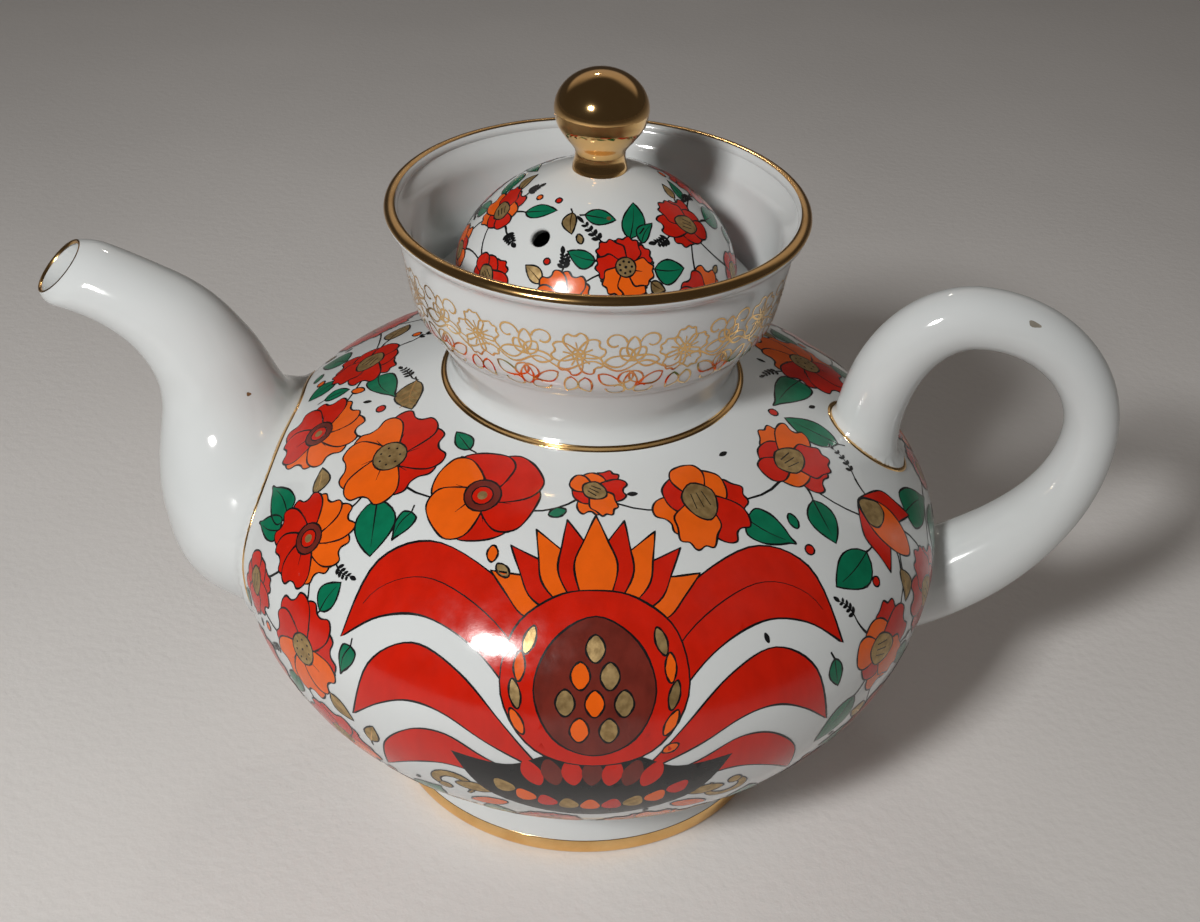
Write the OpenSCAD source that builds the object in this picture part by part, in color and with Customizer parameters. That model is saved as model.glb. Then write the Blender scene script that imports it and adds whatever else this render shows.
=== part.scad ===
// Painted porcelain teapot with a loose domed lid, in millimetres.
// The origin is on the pot's axis, on the plane that the foot ring stands on.
// +Z is up, the spout points to -X and the handle to +X.

/* [Belly] */
// Radius of the belly at its widest line
belly_r = 73; // [66:1:82]
// Height of the widest line above the table
belly_mid_z = 59.5; // [57:0.5:66]
// Height of the shoulder's half ellipse above the widest line
shoulder_h = 38; // [34:1:44]
// Depth of the bowl's half ellipse below the widest line
bowl_h = 54.5; // [50:0.5:55]
// Thickness of the belly's porcelain wall
belly_wall = 3.2; // [2.6:0.1:4]

/* [Foot ring] */
// Outer radius of the foot ring
foot_r = 42.5; // [38:0.5:46]
// Width of the foot ring's standing face, with its rounded edges
foot_w = 5.5; // [4:0.5:7]
// Radius of the rounded edges of the standing face
foot_edge = 1.0; // [0.5:0.1:1.8]

/* [Collar] */
// Outer radius of the collar where it stands on the belly
collar_base_r = 29.2; // [28.6:0.2:31]
// Outer radius of the collar's waist
waist_r = 28.1; // [27.8:0.1:28.8]
// Height of the waist above the collar's base
waist_h = 4.2; // [3.6:0.2:5]
// Height of the rim above the table
rim_z = 131.5; // [129:0.5:136]
// Outer radius of the rim
rim_r = 40.2; // [39.4:0.2:43]
// Radius of the rounded lip
lip_r = 1.25; // [1:0.05:1.4]
// Outer radius of the collar's cup at the height of the lid's ledge
cup_r = 35.1; // [34.8:0.1:36]
// Thickness of the cup's wall
cup_wall = 2.3; // [2:0.1:2.6]
// Radius of the throat, the bore that leads into the belly
throat_r = 24.8; // [23.5:0.1:25.2]

/* [Lid] */
// Height of the ledge that the lid stands on
ledge_z = 111.5; // [110.5:0.5:113]
// Thickness of the lid's flange
flange_h = 1.9; // [1.6:0.1:2.4]
// Free play between the lid's flange and the cup, on the radius
flange_play = 1.6; // [0.8:0.1:2.4]
// Free play between the lid's skirt and the throat, on the radius
skirt_play = 1.5; // [0.6:0.1:2.2]
// Depth of the skirt below the flange
skirt_h = 12; // [8:0.5:14]
// Thickness of the skirt and of the dome
lid_wall = 2.6; // [2:0.1:3]
// Radius of the dome
dome_r = 27; // [25.5:0.5:28]
// Height of the straight wall between the flange and the dome's curve
dome_step_h = 4.6; // [3:0.2:6]
// Height of the dome's curve above the straight wall
dome_h = 20.4; // [16:0.2:21]
// Fullness of the dome's curve, 2 for an ellipse and less for a more pointed dome
dome_power = 1.7; // [1.5:0.05:2]
// Radius of the steam hole
steam_hole_r = 1.75; // [1:0.05:2]
// Distance of the steam hole from the axis
steam_hole_x = 19; // [15:0.2:20.4]
// Bearing of the steam hole, counted from the handle
steam_hole_az = -119; // [-180:1:180]

/* [Knob] */
// Radius of the knob's ball
ball_r = 8.8; // [8:0.1:10.5]
// Height of the ball above its widest line
ball_top_h = 7.5; // [6.5:0.1:9]
// Height of the knob from the dome to its top
knob_h = 18.3; // [17:0.1:22]
// Radius of the stem at its narrowest
stem_r = 4.7; // [4:0.1:5.2]
// Radius of the knob's foot on the dome
knob_foot_r = 5.1; // [4.8:0.1:6]

/* [Spout] */
// Distance of the mouth's centre from the pot's axis
spout_reach = 107.3; // [102:0.1:113]
// Height of the mouth's centre
spout_mouth_z = 108.9; // [105:0.1:116]
// Angle of the mouth's plane above the table
spout_mouth_tilt = 42; // [36:0.5:48]
// Outer radius of the spout at its mouth
spout_mouth_r = 7.8; // [7:0.1:9]
// Distance of the bend's centre from the pot's axis
spout_bend_x = 75.8; // [75:0.1:79]
// Height of the bend, where the spout is slimmest above its swell
spout_bend_z = 81.4; // [80:0.1:84]
// Outer half thickness of the spout at the bend
spout_bend_r = 13.2; // [11.5:0.1:14]
// Distance of the swell's centre from the pot's axis
spout_swell_x = 67.5; // [65:0.1:70]
// Height of the swell's centre
spout_swell_z = 61; // [59:0.5:63]
// Outer half height of the swell
spout_swell_r = 23.3; // [22:0.1:25]
// Height of the root's centre
spout_root_z = 56; // [54:0.2:57]
// Outer half height of the spout at its root
spout_root_r = 26; // [25:0.1:27]
// Outer half width of the spout at its root
spout_root_w = 28.6; // [27:0.1:31]
// Thickness of the spout's wall at the root
spout_wall = 3.0; // [2.5:0.1:3.6]
// Thickness of the spout's wall at the mouth
spout_lip_wall = 1.5; // [1.2:0.1:1.8]
// Radius of the strainer's holes
strainer_hole_r = 2.2; // [1.8:0.1:2.6]
// Distance between the strainer's holes
strainer_pitch = 7.5; // [6.5:0.1:9]

/* [Handle] */
// Distance of the handle's centreline from the pot's axis, at its farthest
handle_reach = 100.2; // [98:0.2:106]
// Height of the point where the handle reaches farthest
handle_reach_z = 87; // [83:0.5:90]
// Distance of the handle's top from the pot's axis
handle_top_x = 74.5; // [72:0.5:77]
// Height of the centreline at the handle's top
handle_top_z = 111.6; // [109:0.2:115]
// Distance of the upper root from the pot's axis
handle_upper_x = 56.3; // [55:0.1:58]
// Height at which the handle leaves the shoulder
handle_upper_z = 84; // [82:0.5:86]
// Height of the lower root's centre
handle_lower_z = 43.2; // [41:0.2:45]
// Radius of the handle where it leaves the shoulder
handle_upper_r = 7.5; // [6.6:0.1:8]
// Radius of the handle at its thinnest, on the outer side
handle_r = 5.4; // [5:0.1:6.4]
// Radius of the handle just above its upper root
handle_neck_r = 6.7; // [6:0.1:7.2]
// Radius of the handle at its lower root
handle_lower_r = 9.8; // [8.6:0.1:10.4]

/* [Gilding] */
// Thickness of the fired gold, drawn as a solid skin
gilt_t = 0.2; // [0.15:0.05:0.3]
// Height of the gilded band on the lip
rim_gilt_h = 1.9; // [1.2:0.1:2.2]
// Width of the gold line round the collar's base
collar_line_w = 1.1; // [0.8:0.1:1.6]
// Height of the gold band on the foot ring
foot_gilt_h = 3.8; // [2.5:0.1:5]
// Width of the gold lines round the roots of the spout and the handle
root_line_w = 1.0; // [0.8:0.1:1.5]
// Width of the gold line round the spout's mouth
mouth_line_w = 0.7; // [0.5:0.1:1]

/* [Fits] */
// Thickness of the luting slip between a root and the belly
luting_gap = 0.12; // [0.08:0.01:0.2]

/* [Hidden] */
$fn = 96;

porcelain = "white";
gold = "goldenrod";
// Segments of a quarter of an outline's ellipse
quarter_n = 26;
// Segments between two points of a smooth outline and between two stations of the spout
span_n = 6;
station_n = 4;
// Directions of the spout's line at its stations, from the root to the neck
spout_turns = [180, 145, 120.5, 90.3, 98.9, 108.6];
// How far the handle's line runs on straight inside the belly at each root
root_sink = 9;
// Pull of the handle's bends at the upper root, the top, the reach and the lower root, as x and z
upper_pull = [-3.5, 27];
top_pull = [[10.5, 0], [14, 0]];
reach_pull = [[0, -13.5], [0, -20]];
lower_pull = [-21, -8];
// Height of the leaving point over the start of the handle's first bend
handle_start_drop = 12;
// Points round a section of the spout and of the handle, and sections along each bend
side_n = 36;
bend_n = 12;
far = 200;

// Heights and radii that follow from the sizes above
collar_z = belly_mid_z + shoulder_h * sqrt(1 - pow(collar_base_r / belly_r, 2));
flange_z = ledge_z + flange_h;
flange_r = cup_r - cup_wall - flange_play;
skirt_r = throat_r - skirt_play;
dome_mid_z = flange_z + dome_step_h;
dome_top_z = dome_mid_z + dome_h;
knob_top_z = dome_top_z + knob_h;
ball_mid_z = knob_top_z - ball_top_h;
foot_top_z = belly_mid_z;

// Points of a quarter ellipse from the angle a0 to a1, with half axes a and b about height z0
function arc_pts(a, b, z0, a0, a1, n = quarter_n) =
    [for (i = [0:n]) let (t = a0 + (a1 - a0) * i / n) [a * cos(t), z0 + b * sin(t)]];

// Smooth curve through points (Catmull-Rom), with its two ends repeated
function at(p, i) = p[max(0, min(len(p) - 1, i))];
function curve_pt(p, i, t) =
    let (a = at(p, i - 1), b = at(p, i), c = at(p, i + 1), d = at(p, i + 2))
    0.5 * (2 * b + (c - a) * t + (2 * a - 5 * b + 4 * c - d) * t * t
           + (3 * b - a - 3 * c + d) * t * t * t);
function curve(p, n = span_n) =
    concat([for (i = [0:len(p) - 2]) for (k = [0:n - 1]) curve_pt(p, i, k / n)], [p[len(p) - 1]]);

// Cubic bend from p0 to p3, leaving along d0 and arriving along d1
function bend_pt(p0, p1, p2, p3, t) =
    p0 * pow(1 - t, 3) + 3 * p1 * t * pow(1 - t, 2) + 3 * p2 * t * t * (1 - t) + p3 * pow(t, 3);
function bend(p0, d0, p3, d1, from = 0) =
    [for (i = [from:bend_n]) bend_pt(p0, p0 + d0, p3 - d1, p3, i / bend_n)];

// Length along a polyline up to point i, and the direction of the line there
function run(p, i) = i <= 0 ? 0 : run(p, i - 1) + norm(p[i] - p[i - 1]);
function heading(p, i) =
    let (d = p[min(i + 1, len(p) - 1)] - p[max(i - 1, 0)]) atan2(d[1], d[0]);
// Smooth step from 0 to 1
function ease(t) = let (u = max(0, min(1, t))) u * u * (3 - 2 * u);
function mix(a, b, t) = a + (b - a) * t;

// Height of the dome's curve at radius x, for a curve with radius r and height h
function dome_y(x, r, h) = h * pow(max(0, 1 - pow(x / r, dome_power)), 1 / dome_power);

// A section of a tube at (x, z), square to the heading, with half axes ra in the plane y = 0 and rb
function section(c, dir, ra, rb) =
    [for (k = [0:side_n - 1]) let (t = 360 * k / side_n)
        [c[0] - ra * cos(t) * sin(dir), rb * sin(t), c[1] + ra * cos(t) * cos(dir)]];

// A closed tube through a list of sections
module tube(rings) {
    n = len(rings);
    m = len(rings[0]);
    points = [for (r = rings) for (q = r) q];
    sides = [for (i = [0:n - 2]) for (k = [0:m - 1]) let (k2 = (k + 1) % m)
        each [[i * m + k, i * m + k2, (i + 1) * m + k2], [i * m + k, (i + 1) * m + k2, (i + 1) * m + k]]];
    start = [[for (k = [m - 1:-1:0]) k]];
    end = [[for (k = [0:m - 1]) (n - 1) * m + k]];
    polyhedron(points, concat(start, sides, end));
}

// Half outline of the belly's outer form, grown by g and closed on the axis
module belly_outline(g = 0) {
    polygon(concat(arc_pts(belly_r + g, bowl_h + g, belly_mid_z, -90, 0),
                   arc_pts(belly_r + g, shoulder_h + g, belly_mid_z, 0, 90)));
}
module band(r0, r1, z0, z1) {
    translate([r0, z0]) square([r1 - r0, z1 - z0]);
}
// The belly's outer form as a plug, to trim what is luted on it
module belly_plug(g) {
    rotate_extrude() belly_outline(g);
}

// Stations of the spout from inside the belly to the mouth: x, z, heading, half height, half width
spout_lip_dir = 90 + spout_mouth_tilt;
spout_stations = curve([
    [-belly_r * 0.64, spout_root_z, spout_turns[0], spout_root_r, spout_root_w],
    [-spout_swell_x, spout_swell_z, spout_turns[1], spout_swell_r, spout_root_w],
    [-mix(spout_swell_x, spout_bend_x, 0.84), mix(spout_swell_z, spout_bend_z, 0.43), spout_turns[2],
     mix(spout_swell_r, spout_bend_r, 0.54), mix(spout_root_w, spout_bend_r, 0.3)],
    [-spout_bend_x, spout_bend_z, spout_turns[3], spout_bend_r, spout_bend_r * 1.035],
    [-mix(spout_bend_x, spout_reach, 0.161), mix(spout_bend_z, spout_mouth_z, 0.434), spout_turns[4],
     mix(spout_bend_r, spout_mouth_r, 0.4), mix(spout_bend_r, spout_mouth_r, 0.465)],
    [-mix(spout_bend_x, spout_reach, 0.457), mix(spout_bend_z, spout_mouth_z, 0.756), spout_turns[5],
     mix(spout_bend_r, spout_mouth_r, 0.49), mix(spout_bend_r, spout_mouth_r, 0.74)],
    [-spout_reach, spout_mouth_z, spout_lip_dir, spout_mouth_r, spout_mouth_r]], station_n);
spout_n = len(spout_stations) - 1;
function spout_w(t) = mix(spout_wall, spout_lip_wall, t);
function spout_rings(g) =
    [for (i = [0:spout_n]) let (q = spout_stations[i], e = g(i / spout_n))
        section(q, q[2], q[3] + e, q[4] + e)];

// Centreline and radii of the handle, with a straight run inside the belly at each end
handle_start = [handle_upper_x, handle_upper_z - handle_start_drop];
handle_top = [handle_top_x, handle_top_z];
handle_far = [handle_reach, handle_reach_z];
handle_end = [belly_r * 0.84, handle_lower_z];
function onward(v) = v * root_sink / norm(v);
handle_line = concat(
    [handle_start - onward(upper_pull)],
    bend(handle_start, upper_pull, handle_top, top_pull[0]),
    bend(handle_top, top_pull[1], handle_far, reach_pull[0], 1),
    bend(handle_far, reach_pull[1], handle_end, lower_pull, 1),
    [handle_end + onward(lower_pull)]);
handle_n = len(handle_line) - 1;
handle_from = run(handle_line, 1);
handle_run = run(handle_line, handle_n - 1) - handle_from;
// Share of the way along the handle, under 0 and over 1 on the runs inside the belly
function handle_s(i) = (run(handle_line, i) - handle_from) / handle_run;
function handle_rad(s) =
    s < 0.12 ? mix(handle_upper_r, handle_neck_r, ease(s / 0.12))
    : s < 0.55 ? mix(handle_neck_r, handle_r, ease((s - 0.12) / 0.43))
    : mix(handle_r, handle_lower_r, ease((s - 0.55) / 0.4));
function handle_rings(g, from = -1, to = 2) =
    [for (i = [0:handle_n]) let (s = handle_s(i)) if (s >= from && s <= to)
        section(handle_line[i], heading(handle_line, i), handle_rad(s) + g, handle_rad(s) + g)];

// Heights where the collar's two sides run into the lip
lip_outer_z = rim_z - lip_r * 1.9;
lip_inner_z = rim_z - lip_r * 1.4;
// Outer outline of the collar, from its base up to the lip
collar_outer = curve([
    [collar_base_r, collar_z],
    [waist_r, collar_z + waist_h],
    [mix(waist_r, cup_r, 0.5), mix(collar_z + waist_h, ledge_z, 0.62)],
    [cup_r, ledge_z],
    [mix(cup_r, rim_r, 0.4), mix(ledge_z, rim_z, 0.52)],
    [mix(cup_r, rim_r, 0.6), mix(ledge_z, lip_outer_z, 0.8965)],
    [rim_r - lip_r * 0.3, lip_outer_z]]);
// Inner outline of the cup, from the lip down to the ledge
collar_inner = curve([
    [rim_r - lip_r * 1.9, lip_inner_z],
    [mix(cup_r, rim_r, 0.55) - cup_wall, mix(ledge_z, lip_inner_z, 0.822)],
    [mix(cup_r, rim_r, 0.4) - cup_wall, mix(ledge_z, rim_z, 0.52)],
    [cup_r - cup_wall, ledge_z]]);
lip_mid = [rim_r - lip_r, rim_z - lip_r];

module collar_outline() {
    polygon(concat(collar_outer, collar_inner, [[throat_r, ledge_z], [throat_r, collar_z]]));
    translate(lip_mid) circle(lip_r);
}

module belly() {
    color(porcelain) difference() {
        rotate_extrude() intersection() {
            difference() {
                belly_outline();
                belly_outline(-belly_wall);
                band(-1, throat_r, belly_mid_z, far);
            }
            band(0, far, 0, collar_z);
        }
        strainer_holes();
    }
}

// Holes through the wall behind the spout, six round one
module strainer_holes() {
    translate([-belly_r, 0, spout_root_z + 3]) rotate([0, 90, 0]) {
        cylinder(h = belly_r * 0.4, r = strainer_hole_r, center = true);
        for (a = [0:60:300]) rotate([0, 0, a]) translate([strainer_pitch, 0, 0])
            cylinder(h = belly_r * 0.4, r = strainer_hole_r, center = true);
    }
}

module foot_ring() {
    color(porcelain) rotate_extrude() difference() {
        union() {
            band(foot_r - foot_w, foot_r, foot_edge, foot_top_z);
            band(foot_r - foot_w + foot_edge, foot_r - foot_edge, 0, foot_edge * 2);
            translate([foot_r - foot_edge, foot_edge]) circle(foot_edge);
            translate([foot_r - foot_w + foot_edge, foot_edge]) circle(foot_edge);
        }
        belly_outline();
    }
}

module collar() {
    color(porcelain) rotate_extrude() collar_outline();
}

module spout() {
    color(porcelain) difference() {
        tube(spout_rings(function(s) 0));
        spout_channel();
        belly_plug(luting_gap);
    }
}

// The spout's channel, run on past the mouth so that it opens it
module spout_channel() {
    inner = spout_rings(function(s) -spout_w(s));
    lip = spout_stations[spout_n];
    out = [cos(spout_lip_dir), sin(spout_lip_dir)];
    r = spout_mouth_r - spout_lip_wall;
    tube(concat(inner, [section([lip[0] + out[0], lip[1] + out[1]], spout_lip_dir, r, r)]));
}

module handle() {
    color(porcelain) difference() {
        tube(handle_rings(0));
        belly_plug(luting_gap);
    }
}

// Outer half outline of the dome, grown by g
module dome_outline(g = 0) {
    r = dome_r + g;
    polygon(concat([for (i = [0:quarter_n]) let (x = r * cos(90 * i / quarter_n))
                        [x, dome_mid_z + dome_y(x, r, dome_h + g)]],
                   [[0, flange_z], [r, flange_z]]));
}

module lid_dome() {
    hole_z = dome_mid_z + dome_y(steam_hole_x, dome_r, dome_h);
    lower = dome_mid_z + dome_y(steam_hole_x + 1, dome_r, dome_h);
    slope = atan(hole_z - lower);
    color(porcelain) difference() {
        rotate_extrude() difference() {
            dome_outline();
            dome_outline(-lid_wall);
        }
        rotate([0, 0, steam_hole_az]) translate([steam_hole_x, 0, hole_z]) rotate([0, slope, 0])
            cylinder(h = lid_wall * 4, r = steam_hole_r, center = true);
    }
}

module lid_flange() {
    color(porcelain) rotate_extrude() {
        band(skirt_r - lid_wall, flange_r, ledge_z, flange_z);
        band(skirt_r - lid_wall, skirt_r, ledge_z - skirt_h, flange_z);
    }
}

// Outline of the knob's neck, from the ball's widest line down to its foot
knob_neck_h = knob_h - ball_top_h;
knob_neck = curve([
    [ball_r, ball_mid_z],
    [mix(stem_r, ball_r, 0.85), ball_mid_z - knob_neck_h * 0.25],
    [mix(stem_r, ball_r, 0.48), ball_mid_z - knob_neck_h * 0.47],
    [mix(stem_r, ball_r, 0.08), ball_mid_z - knob_neck_h * 0.67],
    [stem_r, ball_mid_z - knob_neck_h * 0.82],
    [knob_foot_r, ball_mid_z - knob_neck_h]]);

module lid_knob() {
    color(gold) rotate_extrude() difference() {
        polygon(concat(arc_pts(ball_r, ball_top_h, ball_mid_z, 90, 0), knob_neck,
                       [[knob_foot_r, dome_mid_z], [0, dome_mid_z]]));
        dome_outline();
    }
}

module rim_gilding() {
    color(gold) rotate_extrude() difference() {
        translate(lip_mid) circle(lip_r + gilt_t);
        collar_outline();
        band(0, far, 0, rim_z - rim_gilt_h);
    }
}

module collar_line_gilding() {
    color(gold) rotate_extrude() intersection() {
        difference() {
            belly_outline(gilt_t);
            belly_outline();
        }
        band(collar_base_r + luting_gap, collar_base_r + collar_line_w, belly_mid_z, far);
    }
}

module foot_gilding() {
    color(gold) rotate_extrude() band(foot_r, foot_r + gilt_t, foot_edge, foot_gilt_h);
}

// Gold line on the belly round a root, given as its tube and the tube grown by the line's width
module root_line() {
    color(gold) difference() {
        intersection() {
            children(0);
            belly_plug(gilt_t + luting_gap);
        }
        children(1);
        belly_plug(luting_gap);
    }
}

module spout_root_gilding() {
    root_line() {
        tube(spout_rings(function(s) luting_gap + root_line_w));
        tube(spout_rings(function(s) luting_gap));
    }
}

module spout_mouth_gilding() {
    lip = spout_stations[spout_n];
    out = [cos(spout_lip_dir), sin(spout_lip_dir)];
    r = spout_mouth_r - spout_lip_wall / 2;
    color(gold) translate([lip[0], 0, lip[1]]) rotate([0, 90 - spout_lip_dir, 0]) difference() {
        cylinder(h = gilt_t, r = r + mouth_line_w / 2);
        translate([0, 0, -gilt_t]) cylinder(h = gilt_t * 3, r = r - mouth_line_w / 2);
    }
}

module handle_upper_gilding() {
    root_line() {
        tube(handle_rings(luting_gap + root_line_w, -1, 0.35));
        tube(handle_rings(luting_gap, -1, 0.35));
    }
}

module handle_lower_gilding() {
    root_line() {
        tube(handle_rings(luting_gap + root_line_w, 0.7));
        tube(handle_rings(luting_gap, 0.7));
    }
}

belly();
foot_ring();
collar();
spout();
handle();
lid_dome();
lid_flange();
lid_knob();
rim_gilding();
collar_line_gilding();
foot_gilding();
spout_root_gilding();
spout_mouth_gilding();
handle_upper_gilding();
handle_lower_gilding();
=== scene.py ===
import random
from math import acos, atan, atan2, cos, degrees, hypot, pi, radians, sin, sqrt

import bpy
import numpy as np
from bpy.props import FloatProperty, FloatVectorProperty, IntProperty, PointerProperty
from mathutils import Matrix, Vector
from mathutils.geometry import delaunay_2d_cdt


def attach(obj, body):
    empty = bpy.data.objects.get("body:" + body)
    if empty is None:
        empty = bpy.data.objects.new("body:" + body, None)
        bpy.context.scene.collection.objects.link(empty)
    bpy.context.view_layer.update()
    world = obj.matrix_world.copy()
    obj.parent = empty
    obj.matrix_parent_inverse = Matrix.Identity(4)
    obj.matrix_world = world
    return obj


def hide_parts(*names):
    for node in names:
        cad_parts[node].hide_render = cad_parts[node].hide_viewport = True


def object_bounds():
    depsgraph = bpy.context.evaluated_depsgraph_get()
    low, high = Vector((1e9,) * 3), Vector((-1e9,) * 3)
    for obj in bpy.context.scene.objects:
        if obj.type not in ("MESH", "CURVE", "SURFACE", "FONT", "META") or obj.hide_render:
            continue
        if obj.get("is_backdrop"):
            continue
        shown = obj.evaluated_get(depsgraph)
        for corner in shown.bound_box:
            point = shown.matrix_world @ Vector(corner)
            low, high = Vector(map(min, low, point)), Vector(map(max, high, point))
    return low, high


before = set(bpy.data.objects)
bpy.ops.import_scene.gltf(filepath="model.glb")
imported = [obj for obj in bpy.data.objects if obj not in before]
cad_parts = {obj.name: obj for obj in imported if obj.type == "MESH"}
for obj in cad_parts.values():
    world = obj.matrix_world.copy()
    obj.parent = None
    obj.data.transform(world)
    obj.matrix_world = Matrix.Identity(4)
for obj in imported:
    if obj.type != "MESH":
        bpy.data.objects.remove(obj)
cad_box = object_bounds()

bl_info = {
    "name": "Painted porcelain teapot",
    "version": (1, 0, 0),
    "blender": (4, 5, 0),
    "location": "3D View > Sidebar > Teapot",
    "description": "Builds a glazed porcelain teapot with gilding and painted flowers round its solid frame",
    "category": "Object",
}

MM = 0.001
# Rounding of the spout's lip, and the run over which it rounds, in millimetres
LIP_ROUND, LIP_RUN = 1.35, 4.6
# Slant of the mouth, which opens a little to the pourer's left, and the run over which it grows
LIP_LEAN, LEAN_RUN = 0.24, 14.0
# Sides of the spout's and the handle's tubes, and of the steam hole
SPOUT_SIDES, HANDLE_SIDES, HOLE_SIDES = 72, 64, 48
# Height of the gold lines round the roots
LINE_LIFT = 0.16
# Bare glaze kept round the roots, and step of the grid by which a flat drawing bends over the skin
ROOT_ROOM, GRID_STEP = 1.9, 1.9
# Share of the paint's height by which each layer lies higher than the one before
LAYER_STEP = 0.45
# Angle between one leaf and the next round a flower
GOLDEN_ANGLE = 137.5
# Middles of the two large motifs: angles round the pot and height up the belly, and their scale
MOTIF_AZ, MOTIF_UP, MOTIF_SCALE = (-84, 96), 8.5, 1.04

# ---------------------------------------------------------------- sizes and colours


def size_prop(name, what, size):
    return FloatProperty(name=name, description=what, default=size, unit="LENGTH")


def colour_prop(name, what, rgb):
    return FloatVectorProperty(name=name, description=what, subtype="COLOR", size=3, default=rgb)


class TeapotSizes(bpy.types.PropertyGroup):
    """Sizes of the glazed forms and of the painting, in metres"""

    belly_r: size_prop("Belly radius", "Radius of the belly at its widest line", 0.073)
    belly_mid: size_prop("Belly height", "Height of the widest line", 0.0595)
    shoulder_h: size_prop("Shoulder", "Height of the shoulder's half ellipse", 0.038)
    bowl_h: size_prop("Bowl", "Depth of the bowl's half ellipse", 0.0545)
    spout_fillet: size_prop("Spout fillet", "Radius of the slip smoothed round the spout's root", 0.0022)
    handle_fillet: size_prop("Handle fillet", "Radius of the slip smoothed round the handle's roots", 0.0014)
    line_w: size_prop("Drawn line", "Width of the thin black drawing", 0.00036)
    gold_line_w: size_prop("Gold line", "Width of the gold lines round the roots", 0.00085)
    paint_lift: size_prop("Paint", "Height of the fired colours over the glaze", 0.00005)
    turns: IntProperty(
        name="Steps round", description="Steps round each turned form", default=256, min=48, max=720)


class TeapotColours(bpy.types.PropertyGroup):
    """Colours of the glaze, the fired colours and the gold"""

    glaze: colour_prop("Glaze", "White porcelain under clear glaze", (0.69, 0.72, 0.73))
    red: colour_prop("Red", "Iron red", (0.60, 0.013, 0.003))
    orange: colour_prop("Orange", "Orange", (0.84, 0.125, 0.006))
    green: colour_prop("Green", "Leaf green", (0.003, 0.175, 0.085))
    maroon: colour_prop("Maroon", "Brown red", (0.17, 0.024, 0.016))
    black: colour_prop("Black", "Black drawing", (0.008, 0.009, 0.010))
    gold: colour_prop("Gold", "Bright fired gold", (0.90, 0.58, 0.25))
    matt_gold: colour_prop("Matt gold", "Brushed gold in the painting", (0.50, 0.345, 0.15))
    floor: colour_prop("Floor", "Plain pale floor", (0.79, 0.773, 0.760))


def sizes():
    return bpy.context.scene.teapot_sizes


def colours():
    return bpy.context.scene.teapot_colours


# ---------------------------------------------------------------- materials


def node(tree, kind, inputs, **settings):
    """The outputs of a new node, whose inputs are each set to a value or linked to a socket."""
    made = tree.nodes.new("ShaderNode" + kind)
    for key, value in settings.items():
        setattr(made, key, value)
    for key, value in inputs.items():
        if isinstance(value, bpy.types.NodeSocket):
            tree.links.new(value, made.inputs[key])
        else:
            made.inputs[key].default_value = value
    return made.outputs


def noise(tree, scale, detail, stretch=None, rough=0.5):
    spot = node(tree, "TexCoord", {})["Object"]
    if stretch:
        spot = node(tree, "Mapping", {"Vector": spot, "Scale": stretch})[0]
    return node(tree, "TexNoise", {"Vector": spot, "Scale": scale, "Detail": detail, "Roughness": rough})[0]


def new_material(name, base, dark, patches, edges, gloss, relief, **more):
    """A fired finish: mottled colour, uneven gloss and a fine relief, each from noise."""
    mat = bpy.data.materials.new(name)
    mat.use_nodes = True
    tree = mat.node_tree
    tree.nodes.clear()
    ramp = tree.nodes.new("ShaderNodeValToRGB")
    for stop, at, rgb in zip(ramp.color_ramp.elements, edges, ([c * k for c, k in zip(base, dark)], base)):
        stop.position = at
        stop.color = (*rgb, 1)
    tree.links.new(noise(tree, *patches), ramp.inputs[0])
    inputs = {"Base Color": ramp.outputs[0], **more}
    if gloss:
        scale, low, high = gloss
        fac = noise(tree, scale, 3)
        inputs["Roughness"] = node(tree, "MapRange", {
            "Value": fac, "From Min": 0.3, "From Max": 0.7, "To Min": low, "To Max": high})[0]
    scale, detail, strength, depth, *rough = relief
    height = noise(tree, scale, detail, None, *rough)
    inputs["Normal"] = node(tree, "Bump", {"Strength": strength, "Distance": depth, "Height": height})[0]
    node(tree, "OutputMaterial", {"Surface": node(tree, "BsdfPrincipled", inputs)[0]})
    return mat


def materials():
    """The finishes by name, made once."""
    if "white_glaze" in bpy.data.materials:
        return bpy.data.materials
    c = colours()
    new_material("white_glaze", c.glaze, (0.965, 0.965, 0.955), (22, 4), (0.35, 0.65), (60, 0.06, 0.11),
                 (95, 2, 0.10, 0.0003), IOR=1.52)
    for name, base, dip, low, high in (
        ("red_enamel", c.red, 0.88, 0.12, 0.24), ("orange_enamel", c.orange, 0.92, 0.12, 0.24),
        ("green_enamel", c.green, 0.78, 0.12, 0.24), ("maroon_enamel", c.maroon, 0.7, 0.12, 0.24),
        ("black_enamel", c.black, 0.6, 0.16, 0.3), ("brown_fleck", (0.20, 0.10, 0.04), 0.6, 0.12, 0.24),
        ("grey_fleck", (0.33, 0.30, 0.25), 0.75, 0.3, 0.45),
    ):
        new_material(name, base, (dip,) * 3, (300, 4, (1, 1, 0.3)), (0.34, 0.62), (260, low, high),
                     (700, 4, 0.18, 0.0001), IOR=1.5)
    for name, base, low, high, dip, grain, strength, metal in (
        ("bright_gold", c.gold, 0.12, 0.2, 0.9, 200, 0.05, 1.0),
        ("knob_gold_finish", c.gold, 0.07, 0.11, 0.9, 120, 0.04, 1.0),
        ("brushed_gold", c.matt_gold, 0.30, 0.44, 0.62, 700, 0.3, 0.6),
    ):
        new_material(name, base, (dip, 0.94 * dip, 0.85 * dip), (grain, 4), (0.35, 0.62),
                     (grain * 0.6, low, high), (grain * 2, 3, strength, 0.0001), Metallic=metal)
    return bpy.data.materials


LOOKS = {"porcelain": "white_glaze", "gilding": "bright_gold", "knob_gold": "knob_gold_finish"}
PAINTS = {"gold": "brushed_gold", "bright": "bright_gold", "fleck": "brown_fleck"}

# ---------------------------------------------------------------- curves and forms, in millimetres


def ease(t):
    u = max(0.0, min(1.0, t))
    return u * u * (3 - 2 * u)


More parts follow.
